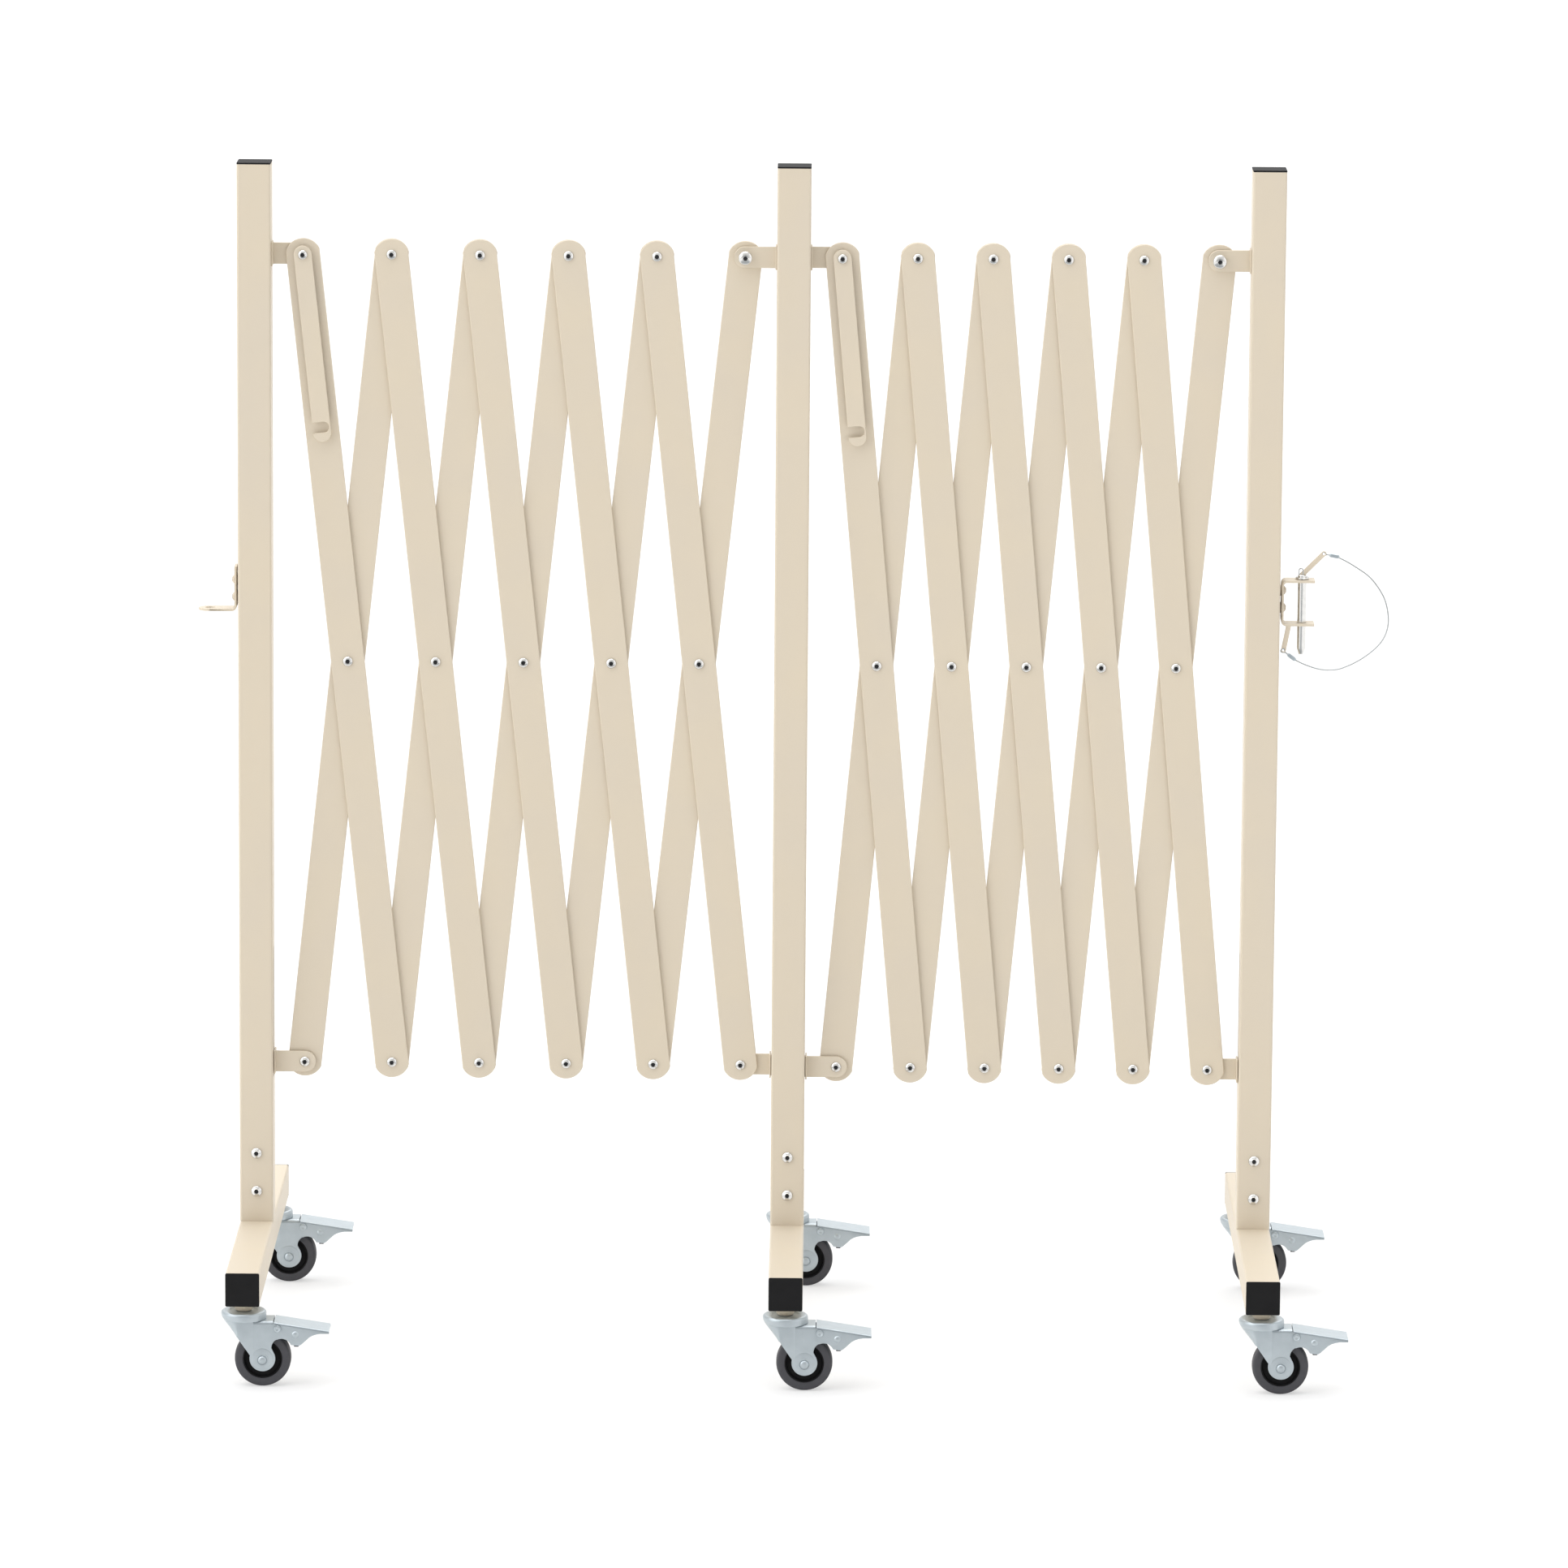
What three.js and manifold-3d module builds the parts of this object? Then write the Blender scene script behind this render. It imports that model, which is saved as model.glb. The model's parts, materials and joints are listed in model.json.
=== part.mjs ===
// Expanding safety barrier on casters, in millimetres.
// Three posts stand on rolling beams, and two scissor lattices of flat steel bars join them.
// +X runs along the barrier, +Y away from its front, +Z up. The floor is z = 0, and the origin
// lies under the middle of the whole barrier.

import * as THREE from 'three';
import { mergeVertices } from 'three/addons/utils/BufferGeometryUtils.js';
import Module from 'manifold-3d';

const wasm = await Module();
wasm.setup();

// Posts and beams, both of square tube
const tubeSide = 30;
const tubeWall = 1.5;
const tubeCorner = 2;
const postLength = 956.5;
const leftSpan = 478;
const rightSpan = 420;
const beamLength = 440;
const capThickness = 1.5;
const capPlugDepth = 8;

// Lattices: flat bars, five crossings a side. The top pins lie below the posts' tops, and the
// bottom ones of a folded lattice lie above the posts' feet.
const crossings = 5;
const topPinDrop = 80.5;
const foldedPinRise = 141;
const pinToPost = 43;
const barWidth = 30;
const barThickness = 3;
const barEndBulge = 1;
const barEndReach = 14;
const layerGap = 0.6;
const foldedBarGap = 1;
const widestTilt = THREE.MathUtils.degToRad(30);

// Rivets and screws
const pinRadius = 3;
const rivetHeadOverhang = 1.75;
const rivetHeadHeight = 2.6;
const rivetTailHeight = 1.6;
const shoulderRadius = 4;
const hookBoltHeadOverhang = 2.2;
const hookBoltHeadHeight = 3;
const screwHeadOverhang = 2;
const screwHeadHeight = 3;
const screwShankRadius = 3;
const screwShankLength = 8;
const socketRadius = 2.6;
const socketDepth = 1.4;
const lowScrewHeight = 28;
const highScrewHeight = 63;
const headTaper = 1.3;

// Arms that carry the lattices: fixed at the top, sliding at the bottom
const armHeight = 19;
const armTipReach = 10;
const armFootThickness = 2;
const armFootWidth = 18;
const armFootHeight = 25;
const neckWidth = 6;
const shoeThickness = 4;
const shoeWidth = 20;
const shoeHeight = 24;
const slotEndPlay = 2;

// Folding hooks
const hookClearance = 0.9;
const hookThickness = 2.5;
const hookWidth = 16;
const hookEndReach = 13;
const notchPlay = 0.8;
const notchPast = 2;
const spacerOverhang = 3;

// Casters
const wheelRadius = 25;
const wheelWidth = 18;
const tyreDepth = 8.5;
const treadEdge = 1.2;
const webThickness = 8;
const hubWall = 4;
const hubEndPlay = 0.5;
const axleRadius = 3;
const axleTrail = 17;
const axleNutRadius = 3.8;
const axleNutHeight = 2;
const wheelSideGap = 2;
const wheelHeadroom = 10.2;
const legThickness = 1.8;
const legBack = 11.5;
const axleBossRadius = 11;
const crownRadius = 20;
const crownHeight = 9;
const crownShoulder = 2.5;
const crownDish = 2;
const crownDishRadius = 12.5;
const webDrop = 10.5;
const bossRadius = 11;
const bossTaper = 2.3;
const bossHeight = 7.5;
const kingpinRadius = 5;
const kingpinNutRadius = 8.5;
const kingpinNutHeight = 6;
const nutToCap = 3;

// Brake pedals. The relief is the hollow that shows the wheel between leg, skirt and axle.
const pivotAhead = 13.5;
const pivotToTread = 3.8;
const pivotRadius = 1.9;
const pivotEarWall = 1.6;
const pivotHeadOverhang = 1.1;
const pivotHeadHeight = 1;
const pedalBehindPivot = 3.5;
const pedalPastWheel = 34;
const pedalDrop = 7.4;
const pedalHeadroom = 2.3;
const pedalSheet = 1.3;
const skirtDepth = 18;
const reliefRadius = 9;
const reliefAhead = 17;
const reliefDrop = 5.8;
const padGap = 3;
const padLength = 4;
const padHeight = 4;
const padStandOut = 1.7;
const dimpleRadius = 3;
const dimpleHeight = 0.7;

// Hitches: a drilled tab on the left post, a forked bracket with its pin on the right one
const hitchWidth = 20;
const hitchThickness = 2;
const hitchStandOff = 1.5;
const hitchWasherRadius = 5;
const hitchScrewRadius = 2.5;
const hitchScrewHeadHeight = 2.25;
const hitchScrewPitch = 15.5;
const hitchScrewPast = 3;
const tabHeight = 556;
const tabReach = 36;
const tabHoleReach = 25.5;
const tabHolePlay = 0.6;
const tabLegHeight = 40;
const tabScrewRise = 12;
const clevisHeight = 552;
const clevisReach = 31;
const clevisOpening = 37;
const clevisScrewRise = 13.5;
const lockPinRadius = 4;
const lockPinReach = 20;
const lockPinLength = 68;
const lockPinTip = 5.5;
const lockPinTipRadius = 2.2;
const collarHeight = 2;
const collarOverhang = 2;

// Links that tether the pin, and the wire rope between them
const linkWidth = 5;
const linkThickness = 1.6;
const linkEyeRadius = 1.6;
const pinLinkReach = 19;
const pinLinkRise = 19;
const bracketLinkPlace = 8;
const bracketLinkSlant = 4;
const bracketLinkDrop = 21;
const ropeRadius = 0.6;
const ropeSides = 8;
const ropeSteps = 56;

// Square core inside each post's foot
const coreWall = 2;
const coreCorner = 1;
const coreHeight = 85;

// Clearances and joins
const restGap = 0.3;
const runningGap = 0.3;
const slideGap = 0.5;
const weld = 0.5;
const overrun = 1;

// Numbers of sides of the round pieces
const pinSides = 8;
const hexSides = 6;
const screwSides = 10;
const wheelSides = 20;
const crownSides = 16;
const arcSteps = 3;
const endCapSteps = 4;

// Derived sizes of the casters, from the wheel up to the underside of the beam
const forkInside = wheelWidth + 2 * wheelSideGap;
const forkTop = 2 * wheelRadius + wheelHeadroom;
const casterHeight = forkTop + crownHeight - crownDish + restGap + bossHeight;
const stemPlace = beamLength / 2 - capThickness - capPlugDepth - nutToCap - kingpinNutRadius;
const pivotEarRadius = pivotRadius + pivotEarWall;
const pivotX = axleTrail + pivotAhead;
const pivotZ = 2 * wheelRadius + pivotToTread;
const pedalStart = pivotX - pedalBehindPivot;
const pedalLength = axleTrail + wheelRadius + pedalPastWheel - pedalStart;
const pedalTop = pivotZ + pivotEarRadius + pedalHeadroom;
const skirtOutside = forkInside / 2 + legThickness + restGap + pedalSheet;
const reliefX = axleTrail + reliefAhead;
const reliefZ = pedalTop - skirtDepth - reliefDrop;

// Derived heights and places of the posts and lattices
const halfTube = tubeSide / 2;
const tubeInside = tubeSide - 2 * tubeWall;
const footHeight = casterHeight + tubeSide;
const postTop = footHeight + postLength;
const topPinHeight = postTop - topPinDrop;
const pinToPin = postLength - topPinDrop - foldedPinRise;
const frontLayerFace = -(layerGap / 2 + barThickness);
const backLayerFace = layerGap / 2 + barThickness;
const hookBackFace = frontLayerFace - rivetHeadHeight - hookClearance;
const hookFrontFace = hookBackFace - hookThickness;
const foldedPitch = barWidth + foldedBarGap;
const foldedTilt = Math.asin(foldedPitch / pinToPin);
const hookLength = crossings * foldedPitch;
const rivetHeadRadius = pinRadius + rivetHeadOverhang;
const middleX = (leftSpan + halfTube + tabReach - rightSpan - pedalStart - pedalLength) / 2;
const postX = { left: middleX - leftSpan, middle: middleX, right: middleX + rightSpan };

// Finishes
const powderCoat = new THREE.MeshStandardMaterial({ color: 0xdccfbb, roughness: 0.5, metalness: 0 });
const zincPlate = new THREE.MeshStandardMaterial({ color: 0xbfc6ca, roughness: 0.35, metalness: 0.8 });
const pinSteel = new THREE.MeshStandardMaterial({ color: 0xb9bbbc, roughness: 0.25, metalness: 0.9 });
const blackPlastic = new THREE.MeshStandardMaterial({ color: 0x262626, roughness: 0.55, metalness: 0 });
const greyTyre = new THREE.MeshStandardMaterial({ color: 0x4b4b50, roughness: 0.7, metalness: 0 });
const wireRope = new THREE.MeshStandardMaterial({ color: 0xa9adb0, roughness: 0.4, metalness: 0.8 });

// A closed three.js geometry as a solid that can be joined and cut, and back again
function solidOf(geometry) {
  const bare = geometry.clone();
  bare.deleteAttribute('normal');
  bare.deleteAttribute('uv');
  const merged = mergeVertices(bare);
  return new wasm.Manifold(new wasm.Mesh({
    numProp: 3,
    vertProperties: merged.attributes.position.array,
    triVerts: new Uint32Array(merged.index.array),
  }));
}

function geometryOf(solid) {
  const mesh = solid.getMesh();
  const geometry = new THREE.BufferGeometry();
  geometry.setAttribute('position', new THREE.BufferAttribute(mesh.vertProperties, 3));
  geometry.setIndex(new THREE.BufferAttribute(mesh.triVerts, 1));
  const flat = geometry.toNonIndexed();
  flat.computeVertexNormals();
  return flat;
}

function joined(solids) {
  return solids.reduce((sum, solid) => sum.add(solid));
}

// Basic forms
function block(x, y, z) {
  const geometry = new THREE.BoxGeometry(x[1] - x[0], y[1] - y[0], z[1] - z[0]);
  geometry.translate((x[0] + x[1]) / 2, (y[0] + y[1]) / 2, (z[0] + z[1]) / 2);
  return solidOf(geometry);
}

// A sheet drawn in the X-Z plane, reaching from y[0] to y[1]
function sheet(shape, y, steps = arcSteps) {
  const geometry = new THREE.ExtrudeGeometry(shape, {
    depth: y[1] - y[0], bevelEnabled: false, curveSegments: steps,
  });
  geometry.rotateX(Math.PI / 2);
  geometry.translate(0, y[1], 0);
  return solidOf(geometry);
}

// Round rods along each axis; the second radius is the one at the far end
function rodY(y, radius, farRadius = radius, sides = pinSides) {
  const geometry = new THREE.CylinderGeometry(farRadius, radius, y[1] - y[0], sides);
  geometry.rotateY(Math.PI / sides);
  geometry.translate(0, (y[0] + y[1]) / 2, 0);
  return solidOf(geometry);
}

function rodZ(z, radius, farRadius = radius, sides = pinSides) {
  const geometry = new THREE.CylinderGeometry(farRadius, radius, z[1] - z[0], sides);
  geometry.rotateX(Math.PI / 2);
  geometry.translate(0, 0, (z[0] + z[1]) / 2);
  return solidOf(geometry);
}

function rodX(x, radius, farRadius = radius, sides = pinSides) {
  const geometry = new THREE.CylinderGeometry(farRadius, radius, x[1] - x[0], sides);
  geometry.rotateZ(-Math.PI / 2);
  geometry.translate((x[0] + x[1]) / 2, 0, 0);
  return solidOf(geometry);
}

// The corner radius of a many-sided hole in which a round pin of this radius turns freely
function boreRadius(radius, sides = pinSides) {
  return (radius + runningGap) / Math.cos(Math.PI / sides);
}

// A square with cut corners, the section of the tubes, caps and cores
function squareShape(side, corner) {
  const half = side / 2;
  const flat = half - corner;
  const shape = new THREE.Shape();
  shape.moveTo(half, -flat);
  shape.lineTo(half, flat);
  shape.lineTo(flat, half);
  shape.lineTo(-flat, half);
  shape.lineTo(-half, flat);
  shape.lineTo(-half, -flat);
  shape.lineTo(-flat, -half);
  shape.lineTo(flat, -half);
  shape.closePath();
  return shape;
}

function squareHole(side) {
  const half = side / 2;
  const hole = new THREE.Path();
  hole.moveTo(half, -half);
  hole.lineTo(-half, -half);
  hole.lineTo(-half, half);
  hole.lineTo(half, half);
  hole.closePath();
  return hole;
}

// A bar of that section standing on z[0], hollow if it is given an inside
function squareBar(z, side, inside = 0, corner = tubeCorner) {
  const shape = squareShape(side, corner);
  if (inside) shape.holes.push(squareHole(inside));
  const geometry = new THREE.ExtrudeGeometry(shape, { depth: z[1] - z[0], bevelEnabled: false });
  geometry.translate(0, 0, z[0]);
  return solidOf(geometry);
}

// Stands a solid made along Z down along Y
function laidBack(solid) {
  return solid.rotate([-90, 0, 0]);
}

// A rivet through both layers: head in front, shank, and the tail formed behind
function rivet() {
  const head = frontLayerFace - rivetHeadHeight;
  const tail = backLayerFace + runningGap;
  return joined([
    rodY([head, frontLayerFace + weld], rivetHeadRadius - headTaper, rivetHeadRadius),
    rodY([frontLayerFace, tail + weld], pinRadius),
    rodY([tail, tail + rivetTailHeight], rivetHeadRadius, rivetHeadRadius - headTaper),
  ]);
}

// The stepped bolt at a lattice's first pin, on which the hook strap turns
function hookPivot() {
  const head = hookFrontFace - restGap;
  return joined([
    rodY([hookBackFace + restGap, frontLayerFace + weld], pinRadius + spacerOverhang),
    rodY([head - weld, 0], pinRadius),
    rodY([head - rivetHeadHeight, head], rivetHeadRadius - headTaper, rivetHeadRadius),
  ]);
}

// The shouldered bolt at a lattice's last pin, which the notch of the hook drops over
function hookBolt() {
  const head = hookFrontFace - restGap;
  const tip = head - hookBoltHeadHeight;
  const tail = backLayerFace + runningGap;
  const headRadius = shoulderRadius + hookBoltHeadOverhang;
  const socket = rodY([tip - overrun, tip + socketDepth], socketRadius, socketRadius, hexSides);
  return joined([
    rodY([tip, head], headRadius - headTaper, headRadius, screwSides),
    rodY([head - weld, frontLayerFace + weld], shoulderRadius),
    rodY([frontLayerFace, tail + weld], pinRadius),
    rodY([tail, tail + rivetTailHeight], rivetHeadRadius, rivetHeadRadius - headTaper),
  ]).subtract(socket);
}

// Lattice bars, each drawn about its middle pin
function barShape() {
  const barEndRadius = barWidth / 2 + barEndBulge;
  const sweep = Math.asin(barWidth / 2 / barEndRadius);
  const arcPlace = pinToPin / 2 + barEndReach - barEndRadius;
  const shape = new THREE.Shape();
  shape.absarc(0, arcPlace, barEndRadius, Math.PI / 2 - sweep, Math.PI / 2 + sweep);
  shape.absarc(0, -arcPlace, barEndRadius, -Math.PI / 2 - sweep, -Math.PI / 2 + sweep);
  shape.closePath();
  return shape;
}

const pinPlaces = [pinToPin / 2, 0, -pinToPin / 2];

function backBar() {
  let bar = sheet(barShape(), [layerGap / 2, backLayerFace]);
  for (const z of pinPlaces) {
    const hole = rodY([0, backLayerFace + overrun], boreRadius(pinRadius));
    bar = bar.subtract(hole.translate([0, 0, z]));
  }
  return bar;
}

function frontBar(carriesHook) {
  const pieces = [sheet(barShape(), [frontLayerFace, -layerGap / 2])];
  for (const z of pinPlaces) {
    pieces.push(rivet().translate([0, 0, z]));
  }
  if (carriesHook) pieces.push(hookPivot().translate([0, 0, pinPlaces[0]]));
  return joined(pieces);
}

// The strap that hangs from the first pin; its notch opens towards the post
function hookStrap() {
  const half = hookWidth / 2;
  const halfNotch = shoulderRadius + notchPlay;
  const shape = new THREE.Shape();
  shape.absarc(0, 0, half, 0, Math.PI);
  shape.lineTo(-half, -hookLength + halfNotch);
  shape.lineTo(notchPast, -hookLength + halfNotch);
  shape.absarc(notchPast, -hookLength, halfNotch, Math.PI / 2, -Math.PI / 2, true);
  shape.lineTo(-half, -hookLength - halfNotch);
  shape.absarc(0, -hookLength - hookEndReach + half, half, Math.PI, 2 * Math.PI);
  shape.closePath();
  const hole = rodY([hookFrontFace - overrun, hookBackFace + overrun], boreRadius(pinRadius));
  return sheet(shape, [hookFrontFace, hookBackFace]).subtract(hole);
}

// An arm's flat plate, drawn from the post's middle; side is 1 where the lattice lies on +X
function armPlate(side, y) {
  const half = armHeight / 2;
  const tip = pinToPost + armTipReach - half;
  const shape = new THREE.Shape();
  shape.moveTo(halfTube, -half);
  shape.absarc(tip, 0, half, -Math.PI / 2, Math.PI / 2);
  shape.lineTo(halfTube, half);
  shape.closePath();
  return mirrored(sheet(shape, y), side);
}

function mirrored(solid, side) {
  return side < 0 ? solid.mirror([1, 0, 0]) : solid;
}

// Arms in the back layer are drilled for a front bar's rivet; arms in the front one carry their own pin
function armLayer(isFront) {
  return isFront ? [frontLayerFace, -layerGap / 2] : [layerGap / 2, backLayerFace];
}

function armWithPin(side, isFront, pin) {
  const plate = armPlate(side, armLayer(isFront));
  if (isFront) return plate.add(pin.translate([side * pinToPost, 0, 0]));
  const hole = rodY([0, backLayerFace + overrun], boreRadius(pinRadius));
  return plate.subtract(hole.translate([side * pinToPost, 0, 0]));
}

function fixedArm(side, isFront) {
  const halfFoot = armFootHeight / 2;
  const foot = block([halfTube - weld, halfTube + armFootThickness],
    [-armFootWidth / 2, armFootWidth / 2], [-halfFoot, halfFoot]);
  return joined([mirrored(foot, side), armWithPin(side, isFront, hookBolt())]);
}

// The bottom arm's foot lies outside the post, and its shoe runs inside it
function slidingArm(side, isFront) {
  const outside = halfTube + slideGap;
  const inside = halfTube - tubeWall - slideGap;
  const halfFoot = armFootHeight / 2;
  const halfShoe = shoeHeight / 2;
  const foot = block([outside, outside + armFootThickness],
    [-armFootWidth / 2, armFootWidth / 2], [-halfFoot, halfFoot]);
  const neck = block([inside - weld, outside + weld],
    [-neckWidth / 2, neckWidth / 2], [-armHeight / 2, armHeight / 2]);
  const shoe = block([inside - shoeThickness, inside],
    [-shoeWidth / 2, shoeWidth / 2], [-halfShoe, halfShoe]);
  const plateStart = block([0, outside], [-halfTube, halfTube], [-armHeight, armHeight]);
  const plate = armWithPin(side, isFront, rivet()).subtract(mirrored(plateStart, side));
  return joined([mirrored(joined([foot, neck, shoe]), side), plate]);
}

// The slot in which a sliding arm travels, from the folded lattice to the widest one
function armSlot(side) {
  const lowest = topPinHeight - pinToPin * Math.cos(foldedTilt) - armHeight / 2 - slotEndPlay;
  const highest = topPinHeight - pinToPin * Math.cos(widestTilt) + armHeight / 2 + slotEndPlay;
  const halfSlot = neckWidth / 2 + slideGap;
  const slot = block([halfTube - tubeWall - overrun, halfTube + overrun],
    [-halfSlot, halfSlot], [lowest, highest]);
  return mirrored(slot, side);
}

// A button-headed screw through a wall that faces -Y, its shank reaching inwards
function footScrew() {
  const head = -halfTube - screwHeadHeight;
  const headRadius = screwShankRadius + screwHeadOverhang;
  const socket = rodY([head - overrun, head + socketDepth], socketRadius, socketRadius, hexSides);
  return joined([
    rodY([head, -halfTube + weld], headRadius - headTaper, headRadius, screwSides),
    rodY([-halfTube, -halfTube + tubeWall + screwShankLength], screwShankRadius),
  ]).subtract(socket);
}

// A post with its fixed top arms, the slots of its sliding ones, its foot screws, and the holes
// for the screws of its hitch
function post(arms, hitch) {
  let body = squareBar([footHeight, postTop], tubeSide, tubeInside);
  for (const arm of arms) {
    body = body.add(fixedArm(arm.side, arm.topInFront).translate([0, 0, topPinHeight]));
    body = body.subtract(armSlot(arm.side));
  }
  for (const height of [lowScrewHeight, highScrewHeight]) {
    body = body.add(footScrew().translate([0, 0, footHeight + height]));
  }
  if (hitch) {
    for (const height of [hitch.lowScrew, hitch.lowScrew + hitchScrewPitch]) {
      const hole = rodX([halfTube - tubeWall - overrun, halfTube + overrun], boreRadius(hitchScrewRadius));
      body = body.subtract(mirrored(hole.translate([0, 0, height]), hitch.side));
    }
  }
  return body;
}

// The beam under a post: its rear end is closed, its front one takes a plug, and a square core
// stands on it inside the post
function beam() {
  const frontEnd = -beamLength / 2 + capThickness;
  const rearEnd = beamLength / 2;
  const middle = casterHeight + halfTube;
  const tube = laidBack(squareBar([frontEnd, rearEnd - capThickness + weld], tubeSide, tubeInside));
  const rearPlate = laidBack(squareBar([rearEnd - capThickness, rearEnd], tubeSide));
  const coreSide = tubeInside - 2 * restGap;
  const core = squareBar([footHeight - weld, footHeight + coreHeight], coreSide,
    coreSide - 2 * coreWall, coreCorner);
  let body = joined([tube, rearPlate]).translate([0, 0, middle]).add(core);
  for (const height of [lowScrewHeight, highScrewHeight]) {
    const hole = rodY([-halfTube, 0], boreRadius(screwShankRadius));
    body = body.subtract(hole.translate([0, 0, footHeight + height]));
  }
  for (const y of [-stemPlace, stemPlace]) {
    const boss = rodZ([casterHeight - bossHeight, casterHeight + weld], bossRadius - bossTaper, bossRadius,
      screwSides);
    const bore = rodZ([casterHeight - bossHeight - overrun, casterHeight + tubeWall + overrun],
      boreRadius(kingpinRadius));
    body = body.add(boss.translate([0, y, 0])).subtract(bore.translate([0, y, 0]));
  }
  return body;
}

// A plastic cap: a plate over the tube's end and a hollow plug inside it, drawn standing on a tube
function tubeCap() {
  const plugSide = tubeInside - 2 * restGap;
  const plate = squareBar([0, capThickness], tubeSide);
  const plug = squareBar([-capPlugDepth, weld], plugSide, plugSide - 2 * coreWall, coreCorner);
  return plate.add(plug);
}

// One fork leg's outline, in the caster's own X-Z plane with the kingpin at x = 0
function legShape() {
  const shape = new THREE.Shape();
  shape.moveTo(-legBack, forkTop);
  shape.absarc(axleTrail, wheelRadius, axleBossRadius, Math.PI, 2 * Math.PI);
  shape.absarc(reliefX, reliefZ, reliefRadius, Math.PI, Math.PI / 2, true);
  shape.absarc(pivotX, pivotZ, pivotEarRadius, 0, Math.PI / 2);
  shape.lineTo(pedalStart - restGap, pivotZ + pivotEarRadius);
  shape.lineTo(pedalStart - restGap, forkTop);
  shape.closePath();
  return shape;
}

// The web that closes the fork behind the wheel, half a bowl under the crown. Its points are shares
// of the crown's radius and of the web's depth, from its rim to its lower edge.
const webShares = [[0.92, 0], [0.76, 0.37], [0.5, 0.79], [0.37, 1]];

function rearWeb() {
  const onWeb = (inset) => webShares.map(([out, deep]) => (
    [crownRadius * out - inset, forkTop - legThickness / 2 - webDrop * deep]));
  const outside = onWeb(0);
  const profile = [...outside, ...onWeb(legThickness).reverse(), outside[0]].reverse();
  const geometry = new THREE.LatheGeometry(profile.map(([r, z]) => new THREE.Vector2(r, z)), crownSides);
  geometry.rotateX(Math.PI / 2);
  const ahead = block([0, crownRadius], [-crownRadius, crownRadius], [0, forkTop]);
  return solidOf(geometry).subtract(ahead);
}

// A caster's fork: legs, top plate, rear web, bearing crown, kingpin with its nut, axle, brake pivot
function fork() {
  const inside = forkInside / 2;
  const outside = inside + legThickness;
  const crownTop = forkTop + crownHeight;
  const nut = casterHeight + tubeWall + restGap;
  const front = sheet(legShape(), [-outside, -inside]);
  const rear = sheet(legShape(), [inside, outside]);
  const top = block([-legBack, pedalStart - restGap], [-outside, outside], [forkTop - legThickness, forkTop]);
  const shoulder = crownTop - crownShoulder;
  const crown = rodZ([forkTop - weld, shoulder], crownRadius, crownRadius, crownSides)
    .add(rodZ([shoulder, crownTop], crownRadius, crownRadius - crownShoulder, crownSides))
    .subtract(rodZ([crownTop - crownDish, crownTop + overrun], crownDishRadius, crownDishRadius, crownSides));
  const kingpin = rodZ([forkTop, nut + kingpinNutHeight], kingpinRadius);
  const kingpinNut = rodZ([nut, nut + kingpinNutHeight], kingpinNutRadius, kingpinNutRadius, hexSides);
  const axleHead = outside + axleNutHeight;
  const axle = joined([
    rodY([-axleHead, -outside + weld], axleNutRadius, axleNutRadius, hexSides),
    rodY([-outside, outside], axleRadius),
    rodY([outside - weld, axleHead], axleNutRadius, axleNutRadius, hexSides),
  ]).translate([axleTrail, 0, wheelRadius]);
  const pivotHead = skirtOutside + restGap;
  const rivetRadius = pivotRadius + pivotHeadOverhang;
  const pivot = joined([
    rodY([-pivotHead - pivotHeadHeight, -pivotHead], rivetRadius - pivotHeadHeight, rivetRadius),
    rodY([-pivotHead - weld, pivotHead + weld], pivotRadius),
    rodY([pivotHead, pivotHead + pivotHeadHeight], rivetRadius, rivetRadius - pivotHeadHeight),
  ]).translate([pivotX, 0, pivotZ]);
  return joined([front, rear, top, rearWeb(), crown, kingpin, kingpinNut, axle, pivot]);
}

// A wheel as one ring: hub, web and tyre. Its flats, not its corners, touch the floor.
function wheel() {
  const reach = 1 / Math.cos(Math.PI / wheelSides);
  const bore = boreRadius(axleRadius, wheelSides);
  const hubHalf = forkInside / 2 - hubEndPlay;
  const webHalf = webThickness / 2;
  const tyreHalf = wheelWidth / 2;
  const tread = wheelRadius * reach;
  const rimRadius = wheelRadius - tyreDepth;
  const rearHalf = [
    [tread, tyreHalf - treadEdge],
    [tread - treadEdge, tyreHalf],
    [rimRadius, tyreHalf],
    [rimRadius, webHalf],
    [axleRadius + hubWall, hubHalf],
    [bore, hubHalf],
  ];
  const frontHalf = rearHalf.map(([r, y]) => [r, -y]).reverse();
  const profile = [...rearHalf, ...frontHalf, rearHalf[0]];
  const geometry = new THREE.LatheGeometry(profile.map(([r, y]) => new THREE.Vector2(r, y)), wheelSides);
  geometry.rotateY(Math.PI / wheelSides);
  return solidOf(geometry);
}

// Points on a pedal's skirt lie along the pedal and below the line of its top, as shares of the
// pedal's length and of the skirt's depth. The skirt starts behind the pivot, runs over the relief,
// drops to the lobe that holds the pad, and rises to the tip.
const skirtStartShares = [[0.02, 0.63], [0.045, 0.85]];
const skirtLobeShares = [[0.35, 1], [0.46, 0.98], [0.57, 0.7], [0.64, 0.49], [0.74, 0.31], [0.85, 0.2]];
const dimpleShare = [0.39, 0.45];
const reliefStart = THREE.MathUtils.degToRad(130);
const reliefEnd = THREE.MathUtils.degToRad(22);

function topLine(along) {
  return pedalTop - pedalDrop * along;
}

function onSkirt([along, deep]) {
  return [pedalStart + pedalLength * along, topLine(along) - skirtDepth * deep];
}

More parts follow.
